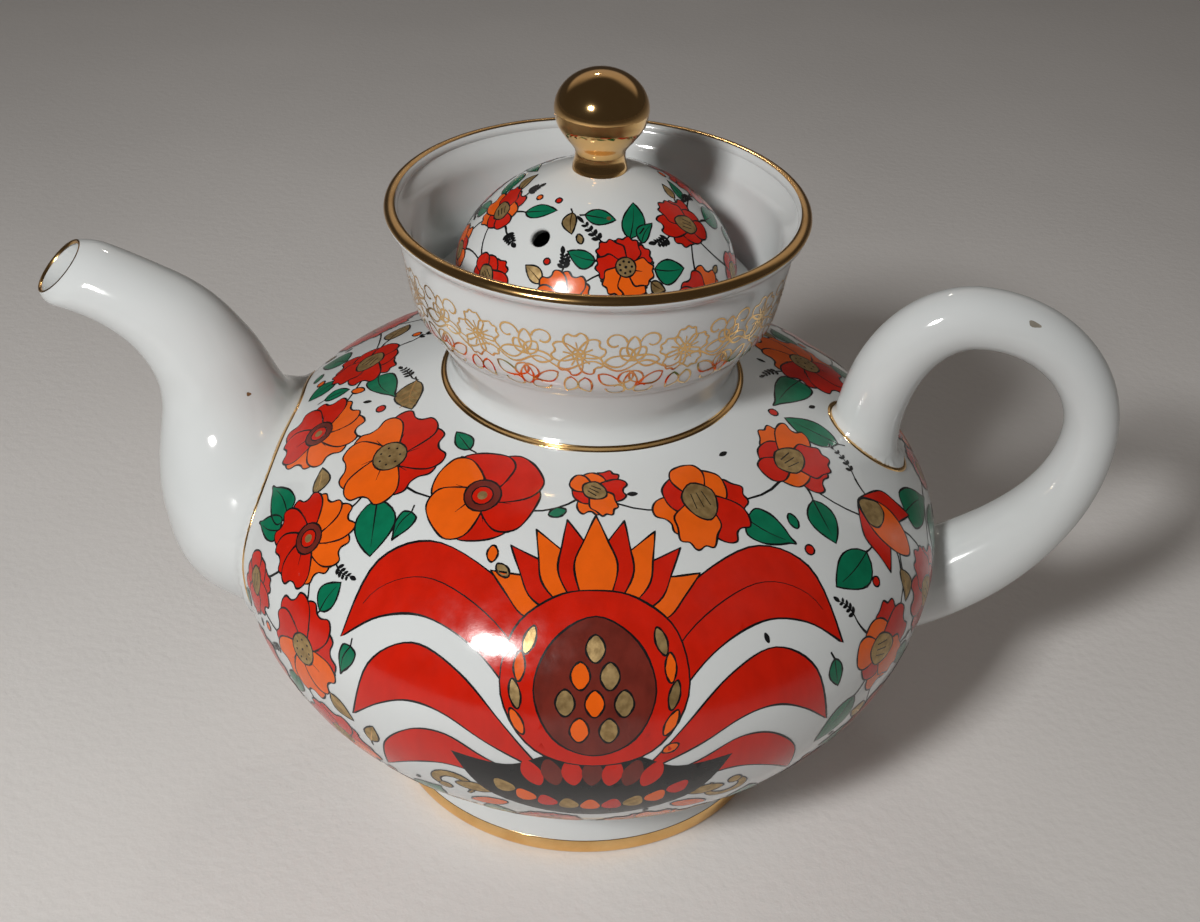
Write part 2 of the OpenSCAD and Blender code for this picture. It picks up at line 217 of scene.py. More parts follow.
def mix(a, b, t):
    return a + (b - a) * t


def smooth(spans, at, n):
    """Points of a smooth curve, n for each span, through the points that at(i) gives."""
    out = []
    for i in range(spans):
        a, b, c, d = at(i - 1), at(i), at(i + 1), at(i + 2)
        for k in range(n):
            t = k / n
            out.append(0.5 * (2 * b + (c - a) * t + (2 * a - 5 * b + 4 * c - d) * t * t
                              + (3 * b - a - 3 * c + d) * t ** 3))
    return out


def curve(points, n):
    """Smooth open curve through points of any length."""
    p = np.array(points, float)
    return np.array(smooth(len(p) - 1, lambda i: p[max(0, min(len(p) - 1, i))], n) + [p[-1]])


def loop(points, n):
    """Smooth closed curve through points."""
    p = np.array(points, float)
    return np.array(smooth(len(p), lambda i: p[i % len(p)], n))


def bend(p0, d0, p3, d1, n, start=0):
    """A cubic from p0 to p3 with a handle at each end."""
    p0, d0, p3, d1 = (np.array(q, float) for q in (p0, d0, p3, d1))
    p1, p2 = p0 + d0, p3 - d1
    ts = [i / n for i in range(start, n + 1)]
    return np.array([p0 * (1 - t) ** 3 + 3 * p1 * t * (1 - t) ** 2 + 3 * p2 * t * t * (1 - t) + p3 * t ** 3
                     for t in ts])


def arc(x, z, rx, rz, angles):
    """Points of an ellipse's arc in an outline's plane, at angles in degrees."""
    return [(x + rx * cos(a), z + rz * sin(a)) for a in map(radians, angles)]


def run_of(line):
    """How far along a line each of its points lies."""
    return np.r_[0, np.cumsum(np.linalg.norm(np.diff(line, axis=0), axis=1))]


def unit(v):
    return v / np.linalg.norm(v)


def add_mesh(name, verts, faces, look):
    """A smooth mesh of one finish from points in millimetres."""
    me = bpy.data.meshes.new(name)
    me.from_pydata([tuple(v) for v in np.asarray(verts, float).reshape(-1, 3) * MM], [], faces)
    me.materials.append(materials()[look])
    me.polygons.foreach_set("use_smooth", [True] * len(me.polygons))
    me.update()
    obj = bpy.data.objects.new(name, me)
    bpy.context.scene.collection.objects.link(obj)
    return obj


def seat(obj, body, slot, *nodes, crisp=0):
    """Puts a piece on its body, for the solids it stands for, sharp over crisp degrees; the slot it is given
    is not used.
    """
    if crisp:
        obj.data.set_sharp_from_angle(angle=radians(crisp))
    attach(obj, body)
    if nodes:
        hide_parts(*nodes)


def piece(name, mesh, body, slot, *nodes, crisp=0):
    seat(add_mesh(name, *mesh, LOOKS[slot]), body, slot, *nodes, crisp=crisp)


def grid_faces(rows, cols, closed_cols=True, closed_rows=False, flip=False):
    faces = []
    for i in range(rows if closed_rows else rows - 1):
        j = (i + 1) % rows
        for k in range(cols if closed_cols else cols - 1):
            m = (k + 1) % cols
            f = (i * cols + k, i * cols + m, j * cols + m, j * cols + k)
            faces.append(f[::-1] if flip else f)
    return faces


def turned(profile, closed=False):
    """A form turned round the pot's axis from (radius, height) points."""
    n = sizes().turns
    ang = np.arange(n) * 2 * pi / n
    ring = np.stack([np.cos(ang), np.sin(ang)], 1)
    verts = np.concatenate([np.c_[ring * max(r, 1e-4), np.full(n, z)] for r, z in profile])
    return verts, grid_faces(len(profile), n, True, closed)


def tube(rings):
    """A tube's skin from rings of points."""
    return np.array(rings), grid_faces(len(rings), len(rings[0]), flip=True)


class Form:
    """The pot's own measures in millimetres, the same as the solids'."""

    def __init__(self):
        s = sizes()
        self.belly_r, self.mid = s.belly_r / MM, s.belly_mid / MM
        self.up, self.down = s.shoulder_h / MM, s.bowl_h / MM
        self.wall = 3.2
        self.foot_r, self.foot_w, self.foot_edge = 42.5, 5.5, 1.0
        self.base_r, self.waist_r, self.waist_h = 29.2, 28.1, 4.2
        self.rim_z, self.rim_r, self.lip_r = 131.5, 40.2, 1.25
        self.cup_r, self.cup_wall, self.throat_r = 35.1, 2.3, 24.8
        self.ledge_z, self.flange_h, self.flange_play, self.skirt_play = 111.5, 1.9, 1.6, 1.5
        self.skirt_h, self.lid_wall = 12, 2.6
        self.dome_r, self.dome_step, self.dome_h, self.power = 27.0, 4.6, 20.4, 1.7
        self.hole_r, self.hole_x, self.hole_az = 1.75, 19.0, -119
        self.ball_r, self.ball_top, self.knob_h, self.stem_r, self.knob_foot = 8.8, 7.5, 18.3, 4.7, 5.1
        self.collar_z = self.mid + self.up * sqrt(1 - (self.base_r / self.belly_r) ** 2)
        self.flange_z = self.ledge_z + self.flange_h
        self.flange_r = self.cup_r - self.cup_wall - self.flange_play
        self.skirt_r = self.throat_r - self.skirt_play
        self.dome_z = self.flange_z + self.dome_step

    def belly_pt(self, deg, g=0.0):
        return arc(0.0, self.mid, self.belly_r + g, (self.up if deg > 0 else self.down) + g, [deg])[0]

    def belly_deg(self, r):
        """Angle up the belly's outline at which it's r wide."""
        return degrees(acos(r / self.belly_r))

    def over(self, p):
        """A point's distance from the axis, its height over the widest line, and the half height there."""
        dz = p[2] - self.mid
        return hypot(p[0], p[1]), dz, self.up if dz > 0 else self.down

    def off_belly(self, p):
        """Distance of a point outside the belly, near its skin."""
        r, dz, b = self.over(p)
        q = hypot(r / self.belly_r, dz / b)
        if q < 1e-6:
            return -self.down
        slope = hypot(r / self.belly_r ** 2, dz / b ** 2) / q
        return (q - 1) / slope

    def on_belly(self, p, lift=0.0):
        """The nearest skin point and its outward normal."""
        p = np.array(p, float)
        for _ in range(4):
            dz, b = self.over(p)[1:]
            n = unit(np.array([p[0] / self.belly_r ** 2, p[1] / self.belly_r ** 2, dz / b ** 2]))
            p = p - n * self.off_belly(p)
        return p + n * lift, n

    def dome_y(self, x, r, h):
        return h * max(0.0, 1 - (x / r) ** self.power) ** (1 / self.power)

    def dome_pt(self, deg, g=0.0):
        r, h = self.dome_r + g, self.dome_h + g
        x = r * cos(radians(deg))
        return x, self.dome_z + self.dome_y(x, r, h)

    def collar_outer(self):
        waist_z = self.collar_z + self.waist_h
        return curve([
            (self.base_r, self.collar_z), (self.waist_r, waist_z),
            (mix(self.waist_r, self.cup_r, 0.5), mix(waist_z, self.ledge_z, 0.62)),
            (self.cup_r, self.ledge_z),
            (mix(self.cup_r, self.rim_r, 0.4), mix(self.ledge_z, self.rim_z, 0.52)),
            (mix(self.cup_r, self.rim_r, 0.6), self.rim_z - 4.2),
            (self.rim_r - self.lip_r * 0.3, self.rim_z - self.lip_r * 1.9)], 10)

    def collar_inner(self):
        return curve([
            (self.rim_r - self.lip_r * 1.9, self.rim_z - self.lip_r * 1.4),
            (mix(self.cup_r, self.rim_r, 0.55) - self.cup_wall, self.rim_z - 5),
            (mix(self.cup_r, self.rim_r, 0.4) - self.cup_wall, mix(self.ledge_z, self.rim_z, 0.52)),
            (self.cup_r - self.cup_wall, self.ledge_z)], 10)

    def lip(self, g, a0, a1, n):
        r = self.lip_r + g
        return arc(self.rim_r - self.lip_r, self.rim_z - self.lip_r, r, r, np.linspace(a0, a1, n))

    def spout_line(self, steps=34):
        """The spout's stations: place, heading in degrees, and half widths in its plane and across it."""
        root_z, root_r, root_w = 56.0, 26.0, 28.6
        sx, sz, sr = 67.5, 61.0, 23.3
        bx, bz, br = 75.8, 81.4, 13.2
        mx, mz, mr, tilt = 107.3, 108.9, 7.8, 42
        return curve([
            (-self.belly_r * 0.64, root_z, 180, root_r, root_w), (-sx, sz, 145, sr, root_w),
            (-mix(sx, bx, 0.84), mix(sz, bz, 0.43), 120.5, mix(sr, br, 0.54), mix(root_w, br, 0.3)),
            (-bx, bz, 90.3, br, br * 1.035),
            (-mix(bx, mx, 0.161), mix(bz, mz, 0.434), 98.9, mix(br, mr, 0.4), mix(br, mr, 0.465)),
            (-mix(bx, mx, 0.457), mix(bz, mz, 0.756), 108.6, mix(br, mr, 0.49), mix(br, mr, 0.74)),
            (-mx, mz, 90 + tilt, mr, mr)], steps)

    def handle_line(self, steps=110):
        """The handle's stations, as the spout's."""
        root, top, back = (56.3, 84.0), (74.5, 111.6), (100.2, 87.0)
        line = np.concatenate([
            bend((root[0], root[1] - 12), (-3.5, 27), top, (10.5, 0), steps),
            bend(top, (14, 0), back, (0, -13.5), steps, 1),
            bend(back, (0, -20), (self.belly_r * 0.84, 43.2), (-21, -8), steps, 1)])
        run = run_of(line)
        out = []
        for i, q in enumerate(line):
            s = run[i] / run[-1]
            d = line[min(i + 1, len(line) - 1)] - line[max(i - 1, 0)]
            r = 7.5 - 0.8 * ease(s / 0.12) - 1.3 * ease((s - 0.12) / 0.43) + 4.4 * ease((s - 0.55) / 0.4)
            out.append((q[0], q[1], degrees(atan2(d[1], d[0])), r, r))
        return np.array(out)


def section(q, sides, g=0.0):
    """A station's ring of points, g wider."""
    t = np.arange(sides) * 2 * pi / sides
    d = radians(q[2])
    rise = (q[3] + g) * np.cos(t)
    return np.stack([q[0] - rise * sin(d), (q[4] + g) * np.sin(t), q[1] + rise * cos(d)], 1)


def rooted_tube(form, stations, sides, fillet):
    """Rings of a luted tube, flared where it meets the belly."""
    rings = []
    for q in stations:
        ring = section(q, sides)
        core = np.array([q[0], 0.0, q[1]])
        for k in range(sides):
            d = max(0.0, form.off_belly(ring[k]))
            if d < fillet:
                flare = fillet - sqrt(max(0.0, fillet ** 2 - (fillet - d) ** 2))
                ring[k] += unit(ring[k] - core) * flare
        rings.append(ring)
    return np.array(rings)


def root_loop(form, rings):
    """Where each line along a tube first meets the belly, going in from its free side."""
    found = []
    for k in range(rings.shape[1]):
        for a, b in zip(rings[:, k], rings[1:, k]):
            da, db = form.off_belly(a), form.off_belly(b)
            if da > 0 >= db:
                found.append(form.on_belly(a + (b - a) * da / (da - db))[0])
                break
    return np.array(found)


def luted(f):
    """The rings of the spout and of the handle, and the three loops where they meet the belly."""
    s = sizes()
    spout = rooted_tube(f, f.spout_line(), SPOUT_SIDES, s.spout_fillet / MM)
    handle = rooted_tube(f, f.handle_line(), HANDLE_SIDES, s.handle_fillet / MM)
    half = len(handle) // 2
    return spout, handle, [root_loop(f, part) for part in (spout[::-1], handle[:half][::-1], handle[half:])]


def gold_line(name, form, path, node_name):
    """A gold line laid on the belly round a root."""
    width = sizes().gold_line_w / MM
    n = len(path)
    mid = path.mean(0)
    for _ in range(6):
        path = path * 0.5 + (np.roll(path, 1, 0) + np.roll(path, -1, 0)) * 0.25
    rows = []
    for k in range(n):
        p, nrm = form.on_belly(path[k])
        side = unit(np.cross(path[(k + 1) % n] - path[k - 1], nrm))
        if np.dot(side, p - mid) < 0:
            side = -side
        w = width * (0.94 + 0.06 * sin(k * 0.31) * sin(k * 0.13 + 1))
        cut = [(-0.5, 0.0), (-0.3, LINE_LIFT), (w * 0.5, LINE_LIFT * 1.3), (w, LINE_LIFT), (w + 0.05, 0.0)]
        rows.append([form.on_belly(p + side * x, y)[0] for x, y in cut])
    lift = np.cross(rows[1][2] - rows[0][2], rows[0][3] - rows[0][2])
    flip = np.dot(lift, form.on_belly(rows[0][2])[1]) < 0
    piece(name, (rows, grid_faces(n, 5, False, True, flip)), "pot", "gilding", node_name)


def fleck(name, rings, i, k, along, across, look):
    """A small fired-in flaw on a tube, at ring i and side k, with its half sizes in rings and sides."""
    def spot(u, v):
        a, b = int(u), int(v)
        p, q, r, t = rings[a, b], rings[a + 1, b], rings[a, b + 1], rings[a + 1, b + 1]
        return mix(mix(p, q, u - a), mix(r, t, u - a), v - b), unit(np.cross(q - p, r - p))

    n = 14
    mid, nrm = spot(i, k)
    side = 1 if np.dot(nrm, mid - rings[int(i)].mean(0)) > 0 else -1
    verts = [mid + nrm * side * 0.05]
    for a in np.arange(n) * 2 * pi / n:
        wobble = 1 + 0.16 * sin(3 * a + 1)
        p, out = spot(i + along * wobble * cos(a), k + across * wobble * sin(a))
        verts.append(p + out * side * 0.02)
    faces = [(0, j + 1, (j + 1) % n + 1) for j in range(n)]
    if np.dot(np.cross(verts[1] - verts[0], verts[2] - verts[0]), nrm) * side < 0:
        faces = [f[::-1] for f in faces]
    seat(add_mesh(name, verts, faces, look), "pot", "porcelain")


# ---------------------------------------------------------------- painting


class Skin:
    """A turned surface to paint on: x runs round it and y up its outline, in millimetres."""

    def __init__(self, outline, zero_z):
        p = np.array(outline, float)
        self.r, self.z = p[:, 0], p[:, 1]
        s = run_of(p)
        self.s = s - np.interp(zero_z, self.z, s)
        d = np.gradient(p, self.s, axis=0)
        d /= np.linalg.norm(d, axis=1)[:, None]
        self.nr, self.nz = d[:, 1], -d[:, 0]

    def at(self, az, s, lift=0.0):
        r, z, nr, nz = (np.interp(s, self.s, row) for row in (self.r, self.z, self.nr, self.nz))
        k = np.hypot(nr, nz)
        r, z = r + nr / k * lift, z + nz / k * lift
        return np.stack([r * np.cos(az), r * np.sin(az), z], -1)

    def radius(self, s):
        return np.interp(s, self.s, self.r)

    def height_at(self, r):
        """How far up the outline a dome is r wide."""
        return float(np.interp(-r, -self.r, self.s))

    def place(self, az0, s0, xy, lift):
        """Points of a flat drawing laid on the skin about (az0, s0)."""
        s = s0 + xy[:, 1]
        return self.at(az0 + xy[:, 0] / np.maximum(self.radius(s), 3.0), s, lift)


def turned_area(p):
    """Twice the area inside a closed outline, less than nought if it runs clockwise."""
    return np.dot(p[:, 0], np.roll(p[:, 1], -1)) - np.dot(p[:, 1], np.roll(p[:, 0], -1))


def left_of(d):
    """Unit vectors to the left of each step."""
    d = d / np.maximum(np.linalg.norm(d, axis=1), 1e-9)[:, None]
    return np.stack([-d[:, 1], d[:, 0]], 1)


def ribbon(line, half):
    """The outline of a line drawn with a changing half width."""
    side = left_of(np.gradient(line, axis=0)) * half[:, None]
    return np.concatenate([line + side, (line - side)[::-1]])


class Brush:
    """Draws motifs as flat shapes, later ones over earlier ones, and lays them on a skin by colour."""

    def __init__(self, skin, line):
        self.skin, self.lift, self.line = skin, sizes().paint_lift / MM, line
        self.data, self.shapes = {}, []
        self.az, self.s, self.rot, self.k, self.layer = 0.0, 0.0, 0.0, 1.0, 0
        self.rng = random.Random(7)

    def goto(self, az, s, rot=0.0, k=1.0, layer=1):
        """Lays what was drawn so far and moves to a new place."""
        self.lay()
        self.az, self.s, self.rot, self.k, self.layer = radians(az), s, rot, k, layer

    def add(self, p, colour):
        self.shapes.append((p[::-1] if turned_area(p) < 0 else p, colour))

    def fill(self, pts, colour, outline=True, width=None, wobble=0.0):
        """A painted area with its drawn edge."""
        p = np.asarray(pts, float)
        ph = self.rng.random() * 6.3
        turns = 2 * pi * np.arange(len(p)) / len(p)
        if wobble:
            mid = p.mean(0)
            ripple = 1 + wobble * (np.sin(3 * turns + ph) + 0.6 * np.sin(5 * turns + 2 * ph))
            p = mid + (p - mid) * ripple[:, None]
        if not outline:
            self.add(p, colour)
            return
        out = left_of(np.roll(p, -1, 0) - np.roll(p, 1, 0)) * (1 if turned_area(p) < 0 else -1)
        w = (width or self.line) / 2 / self.k
        out = out * (w * (1 + 0.2 * np.sin(4 * turns + ph) + 0.12 * np.sin(9 * turns + 2 * ph)))[:, None]
        self.add(p + out, "black")
        self.add(p - out, colour)

    def petal(self, length, width, kind, colour, deg=0, at=(0, 0), **how):
        self.fill(turn(petal(length, width, kind), deg, at), colour, **how)

    def dot(self, r, colour, at=(0, 0), n=12, **how):
        self.fill(disc(r, at, n), colour, **how)

    def stroke(self, pts, width, colour="black", closed=False, taper=False):
        """A drawn line."""
        p = np.asarray(pts, float)
        n = len(p)
        if closed:
            self.stroke(p[: n // 2 + 2], width, colour)
            self.stroke(np.concatenate([p[n // 2:], p[:2]]), width, colour)
            return
        w = width / 2 / self.k * (1 + 0.2 * np.sin(np.arange(n) * 0.6 + self.rng.random() * 6.3))
        if taper:
            w *= np.clip(1.15 - np.linspace(0, 1, n) ** 1.5, 0.3, 1)
        self.add(ribbon(p, w), colour)

    def lay(self):
        """Cuts the drawn shapes against each other and lays them on the skin."""
        if not self.shapes:
            return
        points, faces = [], []
        for p, _ in self.shapes:
            faces.append(list(range(len(points), len(points) + len(p))))
            points.extend(Vector(v) for v in turn(p * self.k, self.rot))
        co = np.array([tuple(v) for v in points])
        lo, hi = co.min(0), co.max(0)
        for i, x in enumerate(np.arange(lo[0] + GRID_STEP / 2, hi[0], GRID_STEP)):
            up = (i % 2) * GRID_STEP / 2
            points.extend(Vector((x, y + up)) for y in np.arange(lo[1] + GRID_STEP / 4, hi[1], GRID_STEP))
        flat, _, tris, _, _, owners = delaunay_2d_cdt(points, [], faces, 1, 1e-4)
        flat = np.array([tuple(v) for v in flat])
        skin = self.skin.place(self.az, self.s, flat, self.lift * (1 + LAYER_STEP * self.layer))
        by = {}
        for tri, over in zip(tris, owners):
            if over:
                by.setdefault(self.shapes[max(over)][1], []).append(tri)
        for colour, part in by.items():
            used, index = np.unique(np.array(part), return_inverse=True)
            self.keep(colour, skin[used], index.reshape(-1, 3))
        self.shapes = []

    def keep(self, colour, points, tris):
        verts, out = self.data.setdefault(colour, ([], []))
        out.append(tris + sum(len(v) for v in verts))
        verts.append(points)

    def build(self, prefix, body, slot="porcelain"):
        self.lay()
        for colour in sorted(self.data):
            verts, tris = (np.concatenate(part) for part in self.data[colour])
            look = PAINTS.get(colour, colour + "_enamel")
            seat(add_mesh(f"{prefix}_{colour}", verts, tris.tolist(), look), body, slot)


def inside(p, x, y):
    """Whether a point lies in a closed outline."""
    x0, y0 = p[:, 0], p[:, 1]
    x1, y1 = np.roll(x0, -1), np.roll(y0, -1)
    hit = (y0 > y) != (y1 > y)
    with np.errstate(divide="ignore", invalid="ignore"):
        cx = x0 + (y - y0) / (y1 - y0) * (x1 - x0)
    return bool(np.count_nonzero(hit & (x < cx)) % 2)


def turn(pts, deg, at=(0, 0)):
    c, s = cos(radians(deg)), sin(radians(deg))
    p = np.asarray(pts, float)
    return np.stack([p[:, 0] * c - p[:, 1] * s + at[0], p[:, 0] * s + p[:, 1] * c + at[1]], 1)


def mirror(pts):
    return np.array(pts, float) * (-1, 1)


def polar(r, deg):
    return r * cos(radians(deg)), r * sin(radians(deg))


def disc(r, at=(0, 0), n=18):
    a = np.arange(n) * 2 * pi / n
    return np.stack([at[0] + r * np.cos(a), at[1] + r * np.sin(a)], 1)


# One side of each petal's outline: shares of its half width and of its length
PETALS = {
    "round": [(0.25, 0), (0.72, 0.28), (1, 0.62), (0.78, 0.9), (0.3, 1)],
    "heart": [(0.22, 0), (0.7, 0.3), (1, 0.66), (0.86, 0.92), (0.5, 1.03), (0.16, 0.93)],
    "wave": [(0.22, 0), (0.62, 0.24), (1.02, 0.5), (0.84, 0.72), (0.7, 0.96), (0.34, 0.97), (0.1, 1.07)],
    "tip": [(0.3, 0), (0.85, 0.25), (1, 0.5), (0.74, 0.78), (0.22, 0.97)],
    "point": [(0.2, 0), (0.8, 0.3), (1, 0.55), (0.55, 0.8), (0.06, 1.05)],
    "lobe": [(0.2, 0), (0.95, 0.1), (1, 0.42), (0.62, 0.72), (0.2, 0.93), (0.04, 1.06)],
}


def petal(length, width, kind, n=4):
    """A petal that stands on the origin and points up."""
    side = [(x * width / 2, y * length) for x, y in PETALS[kind]]
    return loop(side + [(-x, y) for x, y in reversed(side)], n)


def leaf_shape(length, width, bow):
    t = np.linspace(0, 1, 11)
    w = width / 2 * np.sin(np.pi * t ** 0.82) ** 0.9
    x = bow * np.sin(np.pi * t)
    left = np.stack([x - w, t * length], 1)
    return np.concatenate([np.stack([x + w, t * length], 1), left[-2:0:-1]])


def draw_leaf(b, deg, at, length, width, bow=0.0, colour="green", vein=True):
    lobed = colour == "green" and abs(bow) > 0.9
    b.fill(turn(petal(length, width, "lobe") if lobed else leaf_shape(length, width, bow), deg, at), colour)
    if not vein:
        return
    line = "bright" if colour == "gold" else "black"
    t = np.linspace(0.0, 0.84, 6)
    middle = np.stack([0.6 * bow * np.sin(np.pi * t), t * length], 1)
    b.stroke(turn(middle, deg, at), b.line * 0.8, line, taper=True)
    if width > 4 and colour == "gold":
        for q in (0.3, 0.52, 0.72):
            lean = bow * sin(pi * q)
            for side in (-1, 1):
                p = [(0.6 * lean, q * length), (side * width * 0.3 + lean, (q + 0.14) * length)]
                b.stroke(turn(p, deg, at), b.line * 0.5, line)


def draw_sprig(b, deg, at, length, pairs=4, bow=1.0):
    t = np.linspace(0, 1, 9)
    b.stroke(turn(np.stack([bow * np.sin(np.pi * t * 0.8), t * length], 1), deg, at), b.line, taper=True)
    for i in range(pairs):
        q = 0.25 + 0.72 * i / max(1, pairs - 0.2)
        size = 0.62 * (1.15 - 0.5 * q)
        for side in (-1, 1):
            spot = (bow * sin(pi * q * 0.8), q * length)
            d = turn(petal(size * 2.2, size * 1.3, "tip", 2), -side * 58, spot)
            b.fill(turn(d, deg, at), "black", outline=False)
    end = petal(1.6, 0.9, "tip", 2) + [bow * sin(pi * 0.8), length - 0.2]
    b.fill(turn(end, deg, at), "black", outline=False)


def draw_shoot(b, kind, deg, at, length, width, bow):
    """A sprig, or a leaf of the colour that the kind names."""
    if kind == "sprig":
        draw_sprig(b, deg, at, length, 4, bow)
    else:
        draw_leaf(b, deg, at, length, width, bow, kind)


def draw_rosette(b, r, petals, spin, core, first, second, split):
    """An open flower seen from the front, red on one side and orange on the other."""
    kind = ("round", "heart", "wave")[int(spin) % 3]
    for i in range(petals):
        b.petal(r * 0.96, r * 0.3, "tip", "gold", spin + 360 * (i + 0.5) / petals)
    width = 2.15 * r * sin(pi / petals)
    for i in range(petals):
        size = r * (0.97 + 0.06 * ((i * 7) % 3 - 1))
        colour = first if i / petals < split else second
        b.petal(size, width, kind, colour, spin + 360 * i / petals, wobble=0.012)
    for i in range(petals):
        p = [polar(r * 0.34, spin + 90 + 360 * i / petals), polar(r * 0.56, spin + 94 + 360 * i / petals)]
        b.stroke(p, b.line * 0.7, taper=True)
    b.dot(r * 0.33, core, n=20)
    if core == "maroon":
        b.dot(r * 0.19, "red", n=14, width=b.line * 0.8)
        b.dot(r * 0.09, "gold", n=10, outline=False)
    else:
        for i in range(7):
            b.dot(0.26, "black", polar(r * 0.2, i * 51.4), 6, outline=False)
        b.dot(0.3, "black", n=6, outline=False)


def draw_poppy(b, r, spin, first, second):
    """A flower seen from the side round a gold heart."""
    for a, size, kind, colour in (
            (64, 0.92, "wave", first), (-64, 0.92, "heart", second), (118, 0.66, "tip", second),
            (-118, 0.66, "tip", first), (26, 1.06, "heart", first), (-26, 1.06, "wave", second)):
        b.petal(r * size * 1.08, r * 0.92, kind, colour, spin + a, wobble=0.014)
    b.petal(r * 0.78, r * 0.72, "round", second, spin + 180)
    side = [(0.34 * r, -0.06 * r), (0.26 * r, 0.36 * r)]
    heart = loop([(0, -0.34 * r), *side, (0, 0.56 * r), *mirror(side)[::-1]], 4)
    b.fill(turn(heart, spin), "gold")
    for x in (-0.12, 0, 0.12):
        b.stroke(turn([(x * r, -0.1 * r), (x * r * 1.3, 0.26 * r)], spin), b.line * 0.6)


def draw_tulip(b, r, spin, first, second):
    """A bud that opens in three points over a gold cup."""
    foot = polar(-0.62 * r, spin + 90)
    for a in (34, -34):
        b.petal(r * 1.42, r * 0.74, "point", first, spin + a, foot)
    b.petal(r * 1.56, r * 0.86, "tip", second, spin, foot)
    b.petal(r * 0.62, r * 0.66, "round", "gold", spin, foot)


def draw_curl(b, size, colour, deg=0, at=(0, 0)):
    """A comma-shaped scroll that ends in a ball."""
    t = np.linspace(0, 1, 18)
    a = np.radians(-60 + 285 * t)
    line = (size * (1 - 0.5 * t) * np.array([np.cos(a), np.sin(a)])).T
    w = size * 0.2 * (0.12 + np.sin(np.pi * np.clip(t * 0.8 + 0.05, 0, 1)))
    b.fill(turn(ribbon(line, w), deg, at), colour)
    b.fill(turn(disc(size * 0.3, line[-1], 12), deg, at), colour)


def draw_band_leaf(b, outer, inner, colour, veined):
    """A long leaf between two curves that share their ends."""
    o, i = curve(outer, 6), curve(inner, 6)
    b.fill(np.concatenate([o, i[::-1][1:-1]]), colour)
    if veined:
        b.stroke((o * 0.5 + i * 0.5)[3: int(len(o) * 0.9)], b.line * 0.9, taper=True)


# Each fan leaf's outer and inner edge, from its root to its tip
FAN_LEAVES = (
    ([(6, -12), (6, 4), (14, 18), (28, 23.5), (41, 16), (48, 1)],
     [(6, -12), (12.5, -1), (20.5, 7.5), (30, 10.5), (39.5, 7.5), (48, 1)]),
    ([(8, -14.5), (15.5, -4.5), (23.5, 3.2), (32.5, 5.6), (41.5, -1), (45.5, -14)],
     [(8, -14.5), (18, -9.2), (26, -5), (33, -4.6), (39.5, -8), (45.5, -14)]),
    ([(10, -17), (18.5, -13), (26, -9.3), (33, -11), (38.6, -18), (39, -28)],
     [(10, -17), (18, -18), (25, -17.4), (30, -19), (35, -22.8), (39, -28)]),
)
# The room that the motif takes, as (x, y, radius) of discs in its middle and on each side
MOTIF_ROOM = ((0, 4, 15), (0, 24, 8.5), (-8, 25, 6), (8, 25, 6), (0, -20, 12), (12, -20, 8), (-12, -20, 8))
FAN_ROOM = ((17, 12, 8), (27, 17, 7.5), (37, 12, 6.5), (44, 5, 4), (14, 2, 7), (24, 0, 7), (33, 0, 6),
            (40, -6, 5), (44, -12, 3), (22, -11, 6), (31, -14, 5.5), (37, -22, 3.5), (38, -27, 2),
            (24, -24, 6))


def draw_bouquet(b):
    """The large motif: a split pomegranate over a dark calyx between two fans of curved leaves."""
    for n, (outer, inner) in enumerate(FAN_LEAVES):
        draw_band_leaf(b, outer, inner, "red", n == 0)
        draw_band_leaf(b, mirror(outer), mirror(inner), "red", n == 0)
    for side in (-1, 1):
        draw_curl(b, 4.6, "gold", 200 if side > 0 else 20, (side * 25.5, -24.5))
        b.petal(7.5, 4.2, "tip", "orange", -side * 118, (side * 15, -28))
        b.petal(7.0, 3.6, "tip", "gold", -side * 92, (side * 17.5, -23.5))
    b.fill(np.concatenate([
        curve([(-25, -13), (-17, -25), (0, -31.5), (17, -25), (25, -13)], 7),
        curve([(25, -13), (15, -13.5), (8, -10), (0, -8), (-8, -10), (-15, -13.5), (-25, -13)], 7)[1:-1]]),
        "black", outline=False)
    for i in range(9):
        x = -16.8 + 4.2 * i
        y = -11.6 - 11.6 * sqrt(max(0.0, 1 - (x / 21) ** 2))
        b.petal(4.4, 3.5, "round", ("gold", "orange", "red")[i % 3], 180 - x * 2.2, (x, y), outline=False)
    for i, x in enumerate((-11.6, -7.8, -3.9, 0, 3.9, 7.8, 11.6)):
        top = -14.6 + 3.6 * sqrt(max(0.0, 1 - (x / 15) ** 2))
        b.petal(7.2, 3.6, "tip", ("red", "maroon")[i % 2], 180 - x * 1.8, (x, top + 0.4), outline=False)
    for i, a in enumerate((66, -66, 46, -46, 29, -29, 13, -13, 0)):
        b.petal(17.8 - abs(a) * 0.05, 7.4, "point", ("orange", "red")[i // 2 % 2], a, (a * -0.06, 15.0))
    side = [(10, -9), (16, 1), (14, 12), (7, 18.5)]
    b.fill(loop([(0, -12), *mirror(side), (0, 20), *side[::-1]], 5), "red")
    side = [(7, -6), (10.4, 2.5), (7.2, 11)]
    b.fill(loop([(0, -9.5), *mirror(side), (0, 15.5), *side[::-1]], 5), "maroon")
    for row, (y, n) in enumerate(((-4.6, 2), (0.3, 3), (5.0, 2), (9.6, 1))):
        for i in range(n):
            at = ((i - (n - 1) / 2) * 5.0, y - 1.8)
            b.petal(4.6, 3.3, "tip", ("orange", "gold")[(row + i) % 2], 0, at)
    for side in (-1, 1):
        for i in range(4):
            at = (side * (12.1 + 1.1 * sin(i * 1.1)), -5.6 + 4.7 * i)
            b.petal(5.0, 2.0, "tip", ("orange", "gold")[i % 2], side * (-26 + 15 * i), at)


